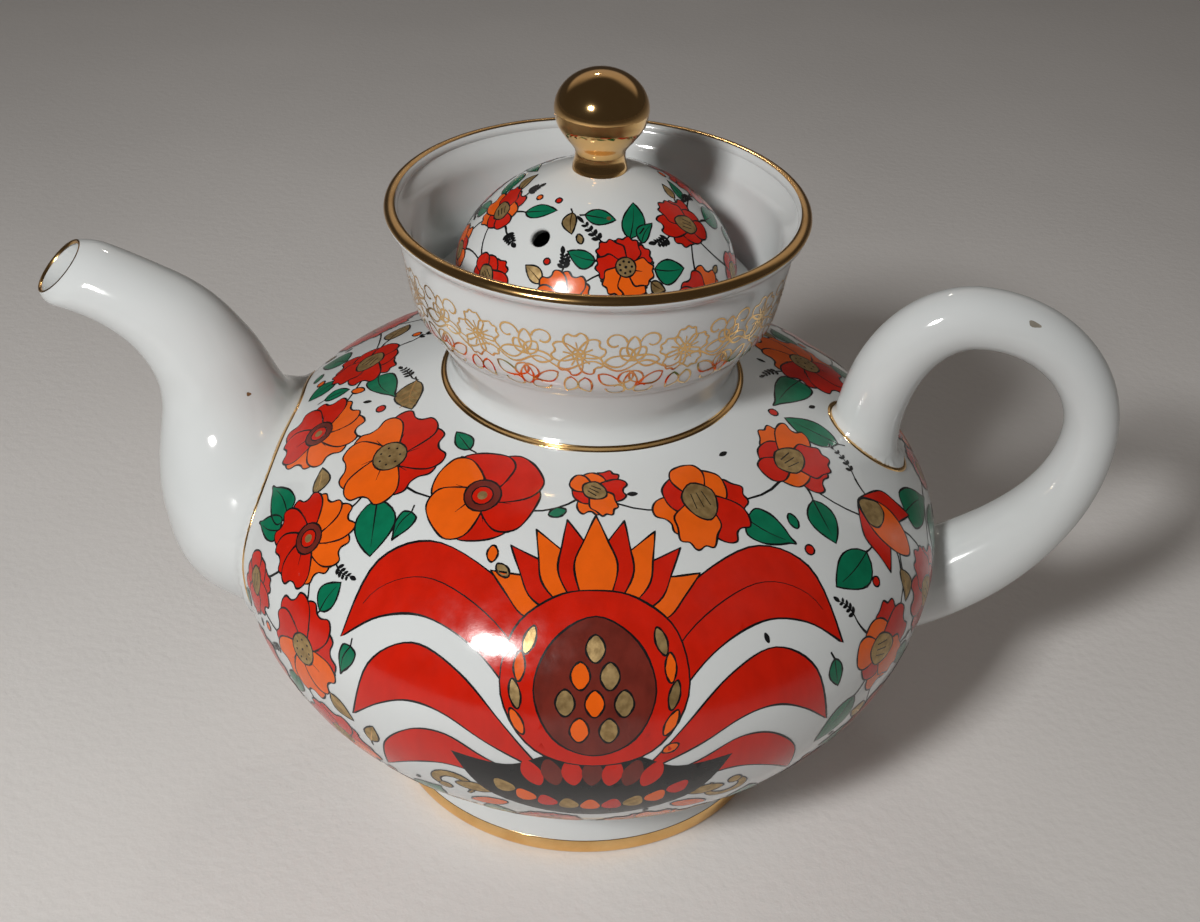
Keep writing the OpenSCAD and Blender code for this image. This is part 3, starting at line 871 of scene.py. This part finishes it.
def stem(b, p0, p1, bow):
    """A thin twig between two points of the current drawing."""
    a, c = np.array(p0, float), np.array(p1, float)
    d = c - a
    side = np.array([-d[1], d[0]]) * bow
    b.stroke(bend(a, d / 3 + side, c, d / 3 - side, 8), b.line * 1.25)


class Ground:
    """Keeps the places taken on a skin, so that motifs stay clear of each other."""

    def __init__(self, skin, low, high, roots=()):
        self.skin, self.low, self.high, self.roots = skin, low, high, roots
        self.spots, self.radii = [], []

    def clear(self, az, y, r, extra=0.0, edge=1.0):
        if y - r * edge < self.low or y + r * edge > self.high:
            return False
        a = (az + 180) % 360 - 180
        round_r = float(self.skin.radius(y))
        for k, path in enumerate(self.roots):
            ang = a if k or a < 0 else a - 360
            q = np.stack([(path[:, 0] - ang) * pi / 180 * round_r, path[:, 1] - y], 1)
            if np.hypot(q[:, 0], q[:, 1]).min() < r + ROOT_ROOM or inside(q, 0.0, 0.0):
                return False
        if not self.spots:
            return True
        gap = np.linalg.norm(np.array(self.spots) - self.skin.at(radians(az), y), axis=1)
        return (gap - np.array(self.radii)).min() > r + extra

    def take(self, az, y, r):
        self.spots.append(self.skin.at(radians(az), y))
        self.radii.append(r)

    def offset(self, az, y, dx, dy):
        return az + degrees(dx / float(self.skin.radius(y + dy))), y + dy

    def apart(self, a, b):
        """Run round the skin from one flower to another, and up it."""
        across = float(self.skin.radius((a[1] + b[1]) / 2))
        return ((b[0] - a[0] + 180) % 360 - 180) * pi / 180 * across, b[1] - a[1]

    def any_place(self, rng):
        return rng.uniform(-180, 180), rng.uniform(self.low, self.high)

    def claim(self, places, extra, edge):
        """Takes all of some places, if all are clear."""
        if not all(self.clear(*q, extra, edge) for q in places):
            return False
        for q in places:
            self.take(*q)
        return True


def grow_flowers(g, rng, flowers, rows, more, gap):
    """Places for flowers after the first ones: rows, then smaller and smaller ones where they fit."""
    for flower in flowers:
        g.take(*flower)

    def plant(az, y, r):
        if not g.clear(az, y, r, gap):
            return False
        g.take(az, y, r)
        flowers.append((az, y, r))
        return True

    row_tries = 14
    for y0, count, r, shift in rows:
        for i in range(count):
            for _ in range(row_tries):
                az = shift + 360 * i / count + rng.uniform(-9, 9)
                if plant(az, y0 + rng.uniform(-4, 4), r * rng.uniform(0.88, 1.06)):
                    break
    for r, tries in more:
        for _ in range(tries):
            plant(*g.any_place(rng), r)
    return flowers


def paint_twigs(b, g, rng, flowers, reach):
    for i, one in enumerate(flowers):
        for d, two in sorted((hypot(*g.apart(one, two)), two) for two in flowers[:i])[:2]:
            if d < reach:
                b.goto(one[0], one[1], layer=0)
                stem(b, (0, 0), g.apart(one, two), rng.choice((-0.22, 0.2)))


def paint_leaves(b, g, rng, flowers, k, most):
    """Leaves and sprigs round each flower, where there is room."""
    kinds = ("green", "green", "sprig", "gold", "green", "sprig", "green", "gold", "green")
    ranges = {"green": (10, 13), "sprig": (7.5, 10), "gold": (8, 10.5)}
    widths = {"green": 7.4, "sprig": 2.8, "gold": 6.0}
    shrinks = (1.0, 0.8, 0.62)
    tries = 13
    for az, y, size in flowers:
        start = rng.uniform(0, 360)
        made = 0
        for j in range(tries * len(shrinks)):
            if made >= most:
                break
            a = start + j * GOLDEN_ANGLE
            kind = kinds[made]
            shrink = k * shrinks[j // tries]
            lengths = {name: rng.uniform(*span) for name, span in ranges.items()}
            length, width = shrink * lengths[kind], shrink * widths[kind]
            places = [(*g.offset(az, y, *polar(size + 0.4 + length * q, a)), width * w)
                      for q, w in ((0.22, 0.34), (0.52, 0.48), (0.84, 0.3))]
            if g.claim(places, 0.05, 0.6):
                b.goto(az, y)
                base = polar(size * 0.98, a)
                stem(b, polar(size * 0.5, a), base, 0.1)
                draw_shoot(b, kind, a - 90, base, length, width, k * rng.uniform(-1.5, 1.5))
                made += 1


def paint_flowers(b, rng, flowers):
    kinds = ("rosette", "poppy", "poppy", "rosette", "tulip", "poppy", "rosette", "poppy")
    warm, hot, plain = ("red", "orange"), ("orange", "red"), ("red", "red")
    for i, (az, y, size) in enumerate(flowers):
        b.goto(az, y, layer=2)
        spin = rng.uniform(0, 360)
        kind = kinds[i % len(kinds)]
        if kind == "rosette":
            petals, core = rng.choice((6, 7, 7, 8)), rng.choice(("maroon", "maroon", "gold"))
            mixed = rng.choice(((*warm, 0.5), (*plain, 1.0), (*hot, 0.45), (*warm, 0.6)))
            draw_rosette(b, size, petals, spin, core, *mixed)
        elif kind == "poppy":
            draw_poppy(b, size * 0.9, spin, *rng.choice((warm, hot, plain)))
        else:
            draw_tulip(b, size * 0.98, spin, *rng.choice((hot, warm)))


def paint_loose_leaves(b, g, rng, k, plan):
    """Leaves and sprigs on short stalks, in the long gaps between the rest."""
    kinds = (("green", 0.95, 1.2), ("gold", 0.95, 1.2), ("green", 0.95, 1.2), ("sprig", 0.92, 1))
    made = 0
    for length, width, tries in plan:
        length, width = length * k, width * k
        for _ in range(tries):
            (az, y), a = g.any_place(rng), rng.uniform(0, 360)
            places = [(*g.offset(az, y, *polar(length * (q - 0.5), a)), width * w)
                      for q, w in ((0.15, 0.26), (0.5, 0.46), (0.86, 0.26))]
            if g.clear(az, y, width * 0.46, 0.3, 0.7) and g.claim(places, 0.3, 0.7):
                b.goto(az, y)
                base = polar(-length * 0.46, a)
                b.stroke([polar(-length * 0.46 - 1.6 * k, a + 6), base], b.line)
                kind, share, bow = kinds[made % len(kinds)]
                draw_shoot(b, kind, a - 90, base, length * share, width, k * rng.uniform(-bow, bow))
                made += 1


def three_leaves(b):
    for a, size in ((0, 7.8), (52, 6.0), (-52, 6.0)):
        draw_leaf(b, a, (0, -3.8), size, 3.8, 0.5)


# For a gap over each size: the share up to which a roll draws each kind, and how it is drawn
FILLERS = (
    (4, (0.4, lambda b, pick: draw_tulip(b, 4.3, 0, "orange", "red")),
        (0.75, lambda b, pick: three_leaves(b)),
        (1, lambda b, pick: draw_curl(b, 3.7, pick(("red", "gold"))))),
    (3, (0.3, lambda b, pick: draw_tulip(b, 3.3, 0, "red", "orange")),
        (0.7, lambda b, pick: draw_leaf(b, 0, (0, -3.5), 7.2, 4.6, 0.4)),
        (0.85, lambda b, pick: draw_curl(b, 2.9, pick(("red", "gold", "orange")))),
        (1, lambda b, pick: draw_leaf(b, 0, (0, -3.4), 6.9, 4.0, 0.3, "gold"))),
    (2, (0.45, lambda b, pick: draw_sprig(b, 0, (0, -2.4), 4.5, 2, 0.4)),
        (1, lambda b, pick: draw_leaf(b, 0, (0, -2.5), 5.2, 3.3, 0.2, pick(("green", "red", "gold")),
                                      False))),
    (1.5, (0.4, lambda b, pick: b.dot(1.0, pick(("orange", "red")))),
          (1, lambda b, pick: b.petal(3.2, 2.0, "tip", pick(("orange", "gold", "green")), 0, (0, -1.6)))),
    (0, (1, lambda b, pick: b.fill(petal(2.0, 1.0, "tip", 3) - [0, 1.0], "black", outline=False))),
)


def paint_fillers(b, g, rng, k, plan):
    """Buds, single leaves, scrolls and berries in the gaps."""
    for size, tries in plan:
        kinds = next(rest for least, *rest in FILLERS if size > least)
        for _ in range(tries):
            (az, y), roll = g.any_place(rng), rng.random()
            if g.claim([(az, y, size * k)], 0.25, 0.9):
                b.goto(az, y, rng.uniform(0, 360), k * max(1.0, size / 4.4))
                next(draw for share, draw in kinds if roll < share)(b, rng.choice)


# ---------------------------------------------------------------- the operators


class TEAPOT_OT_stage(bpy.types.Operator):
    """Camera, lamps and a plain pale floor"""

    bl_idname = "teapot.stage"
    bl_label = "Stage"

    def execute(self, context):
        scene = context.scene
        scene.view_settings.view_transform = "Standard"
        cam_data = bpy.data.cameras.new("camera")
        cam = bpy.data.objects.new("camera", cam_data)
        scene.collection.objects.link(cam)
        cam_data.sensor_fit = "HORIZONTAL"
        cam_data.sensor_width = 36.0
        cam_data.lens = 49.56
        cam_data.clip_start = 0.01
        yaw, pitch, roll = (radians(a) for a in (3.55, 55.96, 2.3))
        facing = Matrix.Rotation(yaw, 4, "Z") @ Matrix.Rotation(pitch, 4, "X") @ Matrix.Rotation(roll, 4, "Z")
        cam.matrix_world = Matrix.Translation((0.01993, -0.28500, 0.26470)) @ facing
        scene.camera = cam

        # A soft patch of light beyond the pot, low over the horizon, in a nearly dark room
        world = bpy.data.worlds.new("studio")
        scene.world = world
        world.use_nodes = True
        tree = world.node_tree
        spot = node(tree, "TexCoord", {})["Generated"]
        axes = node(tree, "SeparateXYZ", {"Vector": spot})
        glow = 1.0
        for axis, start, end in ((1, 0.35, 0.75), (2, 0.30, 0.44), (2, 0.86, 0.70)):
            edge = {"Value": axes[axis], "From Min": start, "From Max": end}
            edge = node(tree, "MapRange", edge, interpolation_type="SMOOTHSTEP")[0]
            glow = node(tree, "Math", {0: edge, 1: glow}, operation="MULTIPLY")[0]
        level = node(tree, "Math", {0: glow, 1: 0.30, 2: 0.04}, operation="MULTIPLY_ADD")[0]
        back = tree.nodes["Background"]
        back.inputs["Color"].default_value = (1.0, 0.88, 0.78, 1)
        tree.links.new(level, back.inputs["Strength"])

        for name, at, aim, size, power, beam, tone in (
            ("key", (-0.315, -0.645, 0.62), (-0.09, -0.06, 0.07), 0.12, 1.48, 90, (1.0, 0.985, 0.96)),
            ("back", (-0.16, 0.75, 0.82), (0, 0, 0.06), 0.06, 0.016, 40, (1.0, 0.93, 0.84)),
            ("fill", (0.55, -0.15, 0.85), (0, 0, 0.06), 0.60, 0.17, 80, (1.0, 0.95, 0.90)),
        ):
            data = bpy.data.lights.new(name, "AREA")
            data.size = size
            data.energy = power
            data.spread = radians(beam)
            data.color = tone
            lamp = bpy.data.objects.new(name, data)
            scene.collection.objects.link(lamp)
            lamp.location = at
            lamp.visible_glossy = name != "fill"
            lamp.rotation_euler = (Vector(aim) - Vector(at)).to_track_quat("-Z", "Y").to_euler()

        me = bpy.data.meshes.new("floor")
        me.from_pydata([(-3, -3, 0), (3, -3, 0), (3, 3, 0), (-3, 3, 0)], [], [(0, 1, 2, 3)])
        me.materials.append(new_material("pale_cloth", colours().floor, (0.93,) * 3, (9, 5), (0.3, 0.7), None,
                                         (380, 4, 0.3, 0.0007, 0.55), Roughness=0.9))
        floor = bpy.data.objects.new("floor", me)
        scene.collection.objects.link(floor)
        floor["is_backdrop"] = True
        return {"FINISHED"}


class TEAPOT_OT_pot(bpy.types.Operator):
    """The turned belly, its foot and the collar"""

    bl_idname = "teapot.pot"
    bl_label = "Belly, foot and collar"

    def execute(self, context):
        f = Form()
        outer = [f.belly_pt(a) for a in np.linspace(-90, f.belly_deg(f.base_r), 150)]
        throat = degrees(acos(f.throat_r / (f.belly_r - f.wall)))
        inner = [f.belly_pt(a, -f.wall) for a in np.linspace(throat, -90, 90)]
        belly = turned(outer + [(f.throat_r, f.collar_z)] + inner)
        piece("belly_glazed", belly, "pot", "porcelain", "belly", crisp=38)

        e, x0, x1 = f.foot_edge, f.foot_r - f.foot_w, f.foot_r
        join = bend((x1, 11.0), (0, 2.4), f.belly_pt(-f.belly_deg(f.foot_r + 2.6), 0.02), (1.4, 1.5), 12)
        foot = [(x0 - 1.5, 12.6), (x0, 9.5), (x0, 4)] + arc(x0 + e, e, e, e, np.linspace(-180, -90, 8))
        foot += arc(x1 - e, e, e, e, np.linspace(-90, 0, 8)) + [(x1, 3), (x1, 6)] + join.tolist()
        piece("foot_glazed", turned(foot), "pot", "porcelain", "foot_ring", crisp=50)

        base = [(f.base_r + 0.35, f.collar_z - 0.15), (f.base_r + 0.12, f.collar_z + 0.25)]
        profile = [*base, *f.collar_outer()[3:], *f.lip(0, -25, 200, 20), *f.collar_inner()[2:]]
        profile += [(f.throat_r + out, f.ledge_z - down) for out, down in ((0.6, 0), (0.15, 0.2), (0, 0.7))]
        collar = turned(profile + [(f.throat_r, f.collar_z)])
        piece("collar_glazed", collar, "pot", "porcelain", "collar", crisp=42)
        return {"FINISHED"}


class TEAPOT_OT_spout(bpy.types.Operator):
    """The swan-necked spout with its smoothed root and its gold lines"""

    bl_idname = "teapot.spout"
    bl_label = "Spout"

    def execute(self, context):
        f = Form()
        rings, _, roots = luted(f)
        stations = f.spout_line()
        last = stations[-1]
        d = radians(last[2])
        out = np.array([cos(d), 0, sin(d)])

        def leaned(ring, share=1.0):
            return ring + out * (LIP_LEAN * share) * ring[:, 1:2]

        def lip(steps):
            """Rings at the mouth: each g wider than the rounded lip and pushed out."""
            return np.array([leaned(section(last, SPOUT_SIDES, g - LIP_ROUND) + out * push)
                             for g, push in steps])

        run = run_of(stations[:, :2])
        channel = []
        for i, q in enumerate(stations):
            left = run[-1] - run[i]
            if left < LIP_RUN:
                rings[i] = section(q, SPOUT_SIDES, -LIP_ROUND * (1 - left / LIP_RUN) ** 2.2)
            share = ease(1 - left / LEAN_RUN)
            rings[i] = leaned(rings[i], share)
            bore = -mix(3.0, LIP_ROUND + 0.55, i / (len(stations) - 1))
            channel.append(leaned(section(q, SPOUT_SIDES, bore), share))
        rim = lip(((-0.12, 0.1), (-0.3, 0.12), (-0.5, 0.02)))
        skin = np.concatenate([rings, rim, channel[::-1][:len(stations) // 2]])
        piece("spout_glazed", tube(skin), "pot", "porcelain", "spout")
        gold_line("spout_root_line", f, roots[0], "spout_root_gilding")
        mouth = lip(((-0.05, 0.1), (-0.18, 0.19), (-0.36, 0.2), (-0.56, 0.06), (-0.72, -0.3)))
        piece("spout_mouth_line", tube(mouth), "pot", "gilding", "spout_mouth_gilding")
        fleck("spout_speck", rings, 117, 44.5, 0.9, 0.5, "brown_fleck")
        return {"FINISHED"}


class TEAPOT_OT_handle(bpy.types.Operator):
    """The loop handle with its two roots and their gold lines"""

    bl_idname = "teapot.handle"
    bl_label = "Handle"

    def execute(self, context):
        f = Form()
        _, rings, roots = luted(f)
        piece("handle_glazed", tube(rings), "pot", "porcelain", "handle")
        fleck("handle_mark", rings, 133, 54.6, 3.2, 1.0, "grey_fleck")
        gold_line("handle_upper_line", f, roots[1], "handle_upper_gilding")
        gold_line("handle_lower_line", f, roots[2], "handle_lower_gilding")
        return {"FINISHED"}


def bored(f, context, dome):
    """Cuts the softened steam hole through the dome."""
    hole_z = f.dome_z + f.dome_y(f.hole_x, f.dome_r, f.dome_h)
    slope = atan(hole_z - f.dome_z - f.dome_y(f.hole_x + 1, f.dome_r, f.dome_h))
    ring = np.radians(np.arange(HOLE_SIDES) * 360 / HOLE_SIDES)
    circle = np.stack([np.cos(ring), np.sin(ring)], 1)
    bore = ((1.5, -6), (0.5, -2.2), (0.02, -0.8), (0.0, -0.6), (0.06, -0.35), (0.2, -0.14), (0.42, 0.02),
            (0.7, 0.12), (0.8, 6))
    verts = np.concatenate([np.c_[circle * (f.hole_r + g), np.full(HOLE_SIDES, z)] for g, z in bore])
    ends = [range(HOLE_SIDES)[::-1], range(len(verts) - HOLE_SIDES, len(verts))]
    drill = add_mesh("drill", verts, grid_faces(len(bore), HOLE_SIDES) + ends, "white_glaze")
    tilted = Matrix.Translation((f.hole_x * MM, 0, hole_z * MM)) @ Matrix.Rotation(slope, 4, "Y")
    drill.matrix_world = Matrix.Rotation(radians(f.hole_az), 4, "Z") @ tilted
    cut = dome.modifiers.new("steam_hole", "BOOLEAN")
    cut.object = drill
    cut.operation = "DIFFERENCE"
    cut.solver = "EXACT"
    context.view_layer.objects.active = dome
    bpy.ops.object.modifier_apply(modifier=cut.name)
    bpy.data.objects.remove(drill)
    return dome


class TEAPOT_OT_lid(bpy.types.Operator):
    """The loose domed lid, its skirt and its gilded knob"""

    bl_idname = "teapot.lid"
    bl_label = "Lid and knob"

    def execute(self, context):
        f = Form()
        outer = [(f.dome_r, f.flange_z + k) for k in (0, 1.5, 3.0)]
        outer += [f.dome_pt(a) for a in np.linspace(0, 90, 110)]
        inner = [f.dome_pt(a, -f.lid_wall) for a in np.linspace(90, 0, 60)]
        verts, faces = turned(outer + inner + [(f.dome_r - f.lid_wall, f.flange_z)], closed=True)
        dome = bored(f, context, add_mesh("dome_glazed", verts, faces, "white_glaze"))
        seat(dome, "lid", "porcelain", "lid_dome", crisp=40)

        r, r0, r1, e = f.flange_r, f.skirt_r - f.lid_wall, f.skirt_r, 0.35
        z0, z1, z2 = f.ledge_z - f.skirt_h, f.ledge_z, f.flange_z
        profile = [(f.dome_r - 0.4, z2), (r0, z2), (r0, z0 + e), (r0 + e, z0), (r1 - e, z0), (r1, z0 + e),
                   (r1, z1 - 0.5), (r1 + 0.5, z1), (r - e, z1), (r - 0.1, z1 + 0.1), (r, z1 + e), (r, z2 - e),
                   (r - 0.1, z2 - 0.12), (r - e, z2), (f.dome_r - 0.4, z2)]
        piece("flange_glazed", turned(profile), "lid", "porcelain", "lid_flange", crisp=35)

        neck = f.knob_h - f.ball_top
        mid = f.dome_z + f.dome_h + neck
        ball = arc(0.0, mid, f.ball_r, f.ball_top, np.linspace(90, 0, 40))
        low = curve([(mix(f.stem_r, f.ball_r, q), mid - neck * h) for q, h in (
            (1, 0), (0.85, 0.25), (0.48, 0.47), (0.08, 0.67), (0, 0.82))] + [(f.knob_foot, mid - neck)], 10)
        profile = [*ball, *low[1:], (f.knob_foot + 0.1, mid - neck - 0.8)]
        piece("knob_gilded", turned(profile[::-1]), "lid", "knob_gold", "lid_knob")
        return {"FINISHED"}


class TEAPOT_OT_gilding(bpy.types.Operator):
    """Gold on the lip, round the collar's base and on the foot"""

    bl_idname = "teapot.gilding"
    bl_label = "Gilding"

    def execute(self, context):
        f = Form()
        piece("lip_gilded", turned(f.lip(0.12, 6, 122, 22)), "pot", "gilding", "rim_gilding")
        rows = []
        for out, g in ((1.15, 0.0), (1.1, 0.14), (0.55, 0.2), (0.2, 0.2), (0.1, 0.5)):
            x, z = f.belly_pt(f.belly_deg(f.base_r + out))
            rows.append((x, z + g))
        piece("collar_base_line", turned(rows), "pot", "gilding", "collar_line_gilding")
        e, x1 = f.foot_edge, f.foot_r
        rows = arc(x1 - e, e, e + 0.1, e + 0.1, (-52, -40, -25, -10))
        rows += [(x1 + 0.12, 1.2), (x1 + 0.12, 3.8), (x1 + 0.02, 3.9)]
        piece("foot_gold_band", turned(rows), "pot", "gilding", "foot_gilding")
        return {"FINISHED"}


def on_outline(root, skin, first):
    """A root's loop as (angle, height on the outline), the first on the side where angles fall below -180."""
    az = np.degrees(np.arctan2(root[:, 1], root[:, 0]))
    if first:
        az = np.where(az > 0, az - 360, az)
    return np.stack([az, np.interp(root[:, 2], skin.z, skin.s)], 1)


class TEAPOT_OT_belly_flowers(bpy.types.Operator):
    """Flowers, leaves and twigs painted over the belly, with a large motif on each side"""

    bl_idname = "teapot.belly_flowers"
    bl_label = "Painting on the belly"

    def execute(self, context):
        f = Form()
        low, top = f.belly_deg(f.foot_r + 1.0), f.belly_deg(f.base_r + 1.2)
        skin = Skin([f.belly_pt(a) for a in np.linspace(-low, top, 400)], f.mid)
        b = Brush(skin, sizes().line_w / MM)
        rng = random.Random(21)
        roots = [on_outline(root, skin, i == 0) for i, root in enumerate(luted(f)[2])]
        g = Ground(skin, float(skin.s[0]) + 2.4, float(skin.s[-1]) - 3.8, roots)
        room = MOTIF_ROOM + tuple((side * x, y, r) for x, y, r in FAN_ROOM for side in (-1, 1))
        for az in MOTIF_AZ:
            b.goto(az, MOTIF_UP, 0, MOTIF_SCALE)
            draw_bouquet(b)
            for x, y, r in room:
                g.take(*g.offset(az, MOTIF_UP, x * MOTIF_SCALE, y * MOTIF_SCALE), r * MOTIF_SCALE)
        first = [(-112, 44.5, 10.6), (-85, 49.8, 6.0), (-58, 45.5, 10.4), (68, 44.5, 10.4), (95, 49.8, 6.0),
                 (122, 45.5, 10.6)]
        rows = [(45, 9, 10.2, 20), (25, 12, 10.6, 2), (4, 12, 10.4, 18), (-17, 12, 10.0, 2),
                (-37, 11, 8.6, 17)]
        flowers = grow_flowers(g, rng, first, rows, [(r, 900) for r in (9.6, 8.4, 7.2, 6.0)], 0.4)
        paint_twigs(b, g, rng, flowers, 30)
        paint_leaves(b, g, rng, flowers, 1.04, 9)
        paint_flowers(b, rng, flowers)
        paint_loose_leaves(b, g, rng, 1.0, (
            (12.5, 7.0, 1600), (10, 5.8, 1800), (8, 4.6, 2200), (6.2, 3.4, 2200)))
        paint_fillers(b, g, rng, 1.0, (
            (6.2, 700), (5.2, 800), (4.4, 900), (3.5, 1300), (2.6, 1700), (1.75, 1700), (1.15, 700)))
        b.goto(0, 0)
        n = 360
        ends = np.linspace(0, 2 * pi, n + 1)[:-1]
        edge = float(skin.s[0]) + 0.9
        ring = [skin.at(ends, np.full(n, edge + side), b.lift * 1.2) for side in (-0.2, 0.2)]
        i = np.arange(n)
        j = (i + 1) % n
        b.keep("black", np.concatenate(ring), np.concatenate([np.c_[i, j, n + i], np.c_[j, n + j, n + i]]))
        b.build("belly_paint", "pot")
        return {"FINISHED"}


class TEAPOT_OT_lid_flowers(bpy.types.Operator):
    """A garland of small flowers round the lid's dome, clear of the steam hole"""

    bl_idname = "teapot.lid_flowers"
    bl_label = "Painting on the lid"

    def execute(self, context):
        f = Form()
        outline = [(f.dome_r, f.flange_z + 0.5)] + [f.dome_pt(a) for a in np.linspace(0, 84, 220)]
        skin = Skin(outline, f.dome_z)
        b = Brush(skin, sizes().line_w / MM * 0.85)
        rng = random.Random(5)
        g = Ground(skin, float(skin.s[0]) + 0.4, skin.height_at(11.0))
        g.take(f.hole_az, skin.height_at(f.hole_x), 3.3)
        first = [(-72, 11.5, 5.6), (-24, 15.5, 6.2), (-156, 15.5, 5.8)]
        more = ((5.6, 500), (4.8, 500), (4.0, 400))
        flowers = grow_flowers(g, rng, first, [(13.5, 7, 6.0, 24)], more, 0.6)
        paint_twigs(b, g, rng, flowers, 17)
        paint_leaves(b, g, rng, flowers, 0.6, 8)
        paint_flowers(b, rng, flowers)
        paint_loose_leaves(b, g, rng, 0.6, ((10, 5.6, 900), (8, 4.4, 900)))
        paint_fillers(b, g, rng, 0.62, ((3.5, 500), (2.6, 700), (1.75, 500)))
        b.goto(-78, skin.height_at(14.2))
        b.dot(0.42, "fleck", n=10, outline=False)
        b.build("lid_paint", "lid")
        return {"FINISHED"}


class TEAPOT_OT_collar_garland(bpy.types.Operator):
    """A fine gold garland drawn round the collar"""

    bl_idname = "teapot.collar_garland"
    bl_label = "Gold drawing on the collar"

    def execute(self, context):
        f = Form()
        b = Brush(Skin(f.collar_outer(), 116.0), 0.36)

        def draw(pts, closed=False, thin=1.0):
            b.stroke(pts, b.line * thin, "bright", closed)

        curl = np.linspace(0, 1, 14)
        spin, rad = np.radians(310 * curl), 2.1 * (1 - 0.6 * curl)
        count = 12
        for i in range(count):
            b.goto(-90 + 360 * i / count, 2.6, 10 * (-1) ** i)
            for a in (72 * k + 9 * i for k in range(5)):
                draw(turn(petal(4.6, 4.3, ("heart", "wave")[i % 2]), a), True)
                draw([polar(1.4, 90 + a), polar(2.8, 90 + a)], thin=0.8)
            draw(disc(1.15, n=12), True)
            b.goto(-90 + 360 * i / count, 0.0)
            for side in (-1, 1):
                for x, y, rot, size in ((4.6, 1.0, -74, 5.0), (3.6, -1.8, -118, 4.8), (1.2, -2.6, -168, 4.2)):
                    draw(turn(leaf_shape(size, 2.5, 0.4 * side), side * rot, (side * x, y)), True)
                draw(np.stack([side * (6.4 + rad * np.cos(spin)), 5.6 + rad * np.sin(spin)], 1))
                draw(np.stack([side * (6.9 - rad * np.cos(spin)), -5.4 - rad * np.sin(spin)], 1))
            b.goto(-90 + 360 * (i + 0.5) / count, 0.0)
            for rot, y, size in ((0, 2.2, 4.6), (180, -1.6, 4.4), (38, 1.6, 3.4), (-38, 1.6, 3.4),
                                 (142, -1.2, 3.2), (-142, -1.2, 3.2)):
                draw(turn(petal(size, 2.4, "tip"), rot, (0, y)), True)
            wave = np.linspace(-1, 1, 26)
            draw(np.stack([wave * 9.4, 0.2 + 1.1 * np.sin(wave * pi * 2)], 1))
        b.build("collar_drawing", "pot", "gilding")
        return {"FINISHED"}


class TEAPOT_PT_panel(bpy.types.Panel):
    """Lists the steps that build the teapot"""

    bl_idname = "TEAPOT_PT_panel"
    bl_label = "Teapot"
    bl_space_type = "VIEW_3D"
    bl_region_type = "UI"
    bl_category = "Teapot"

    def draw(self, context):
        for step in STEPS:
            self.layout.operator(step.bl_idname)
        for group in (context.scene.teapot_sizes, context.scene.teapot_colours):
            for name in group.__annotations__:
                self.layout.prop(group, name)


STEPS = (
    TEAPOT_OT_stage, TEAPOT_OT_pot, TEAPOT_OT_spout, TEAPOT_OT_handle, TEAPOT_OT_lid, TEAPOT_OT_gilding,
    TEAPOT_OT_belly_flowers, TEAPOT_OT_lid_flowers, TEAPOT_OT_collar_garland,
)
CLASSES = (TeapotSizes, TeapotColours, *STEPS, TEAPOT_PT_panel)


def register():
    for cls in CLASSES:
        bpy.utils.register_class(cls)
    bpy.types.Scene.teapot_sizes = PointerProperty(type=TeapotSizes)
    bpy.types.Scene.teapot_colours = PointerProperty(type=TeapotColours)


def unregister():
    del bpy.types.Scene.teapot_colours
    del bpy.types.Scene.teapot_sizes
    for cls in reversed(CLASSES):
        bpy.utils.unregister_class(cls)


def main():
    register()
    for step in STEPS:
        group, name = step.bl_idname.split(".")
        if getattr(getattr(bpy.ops, group), name)() != {"FINISHED"}:
            raise RuntimeError(f"{step.bl_label} didn't finish")
    plain = lambda box: [[float(v) for v in corner] for corner in box]
    {"cad": plain(cad_box), "visual": plain(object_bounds())}


if __name__ == "__main__":
    main()
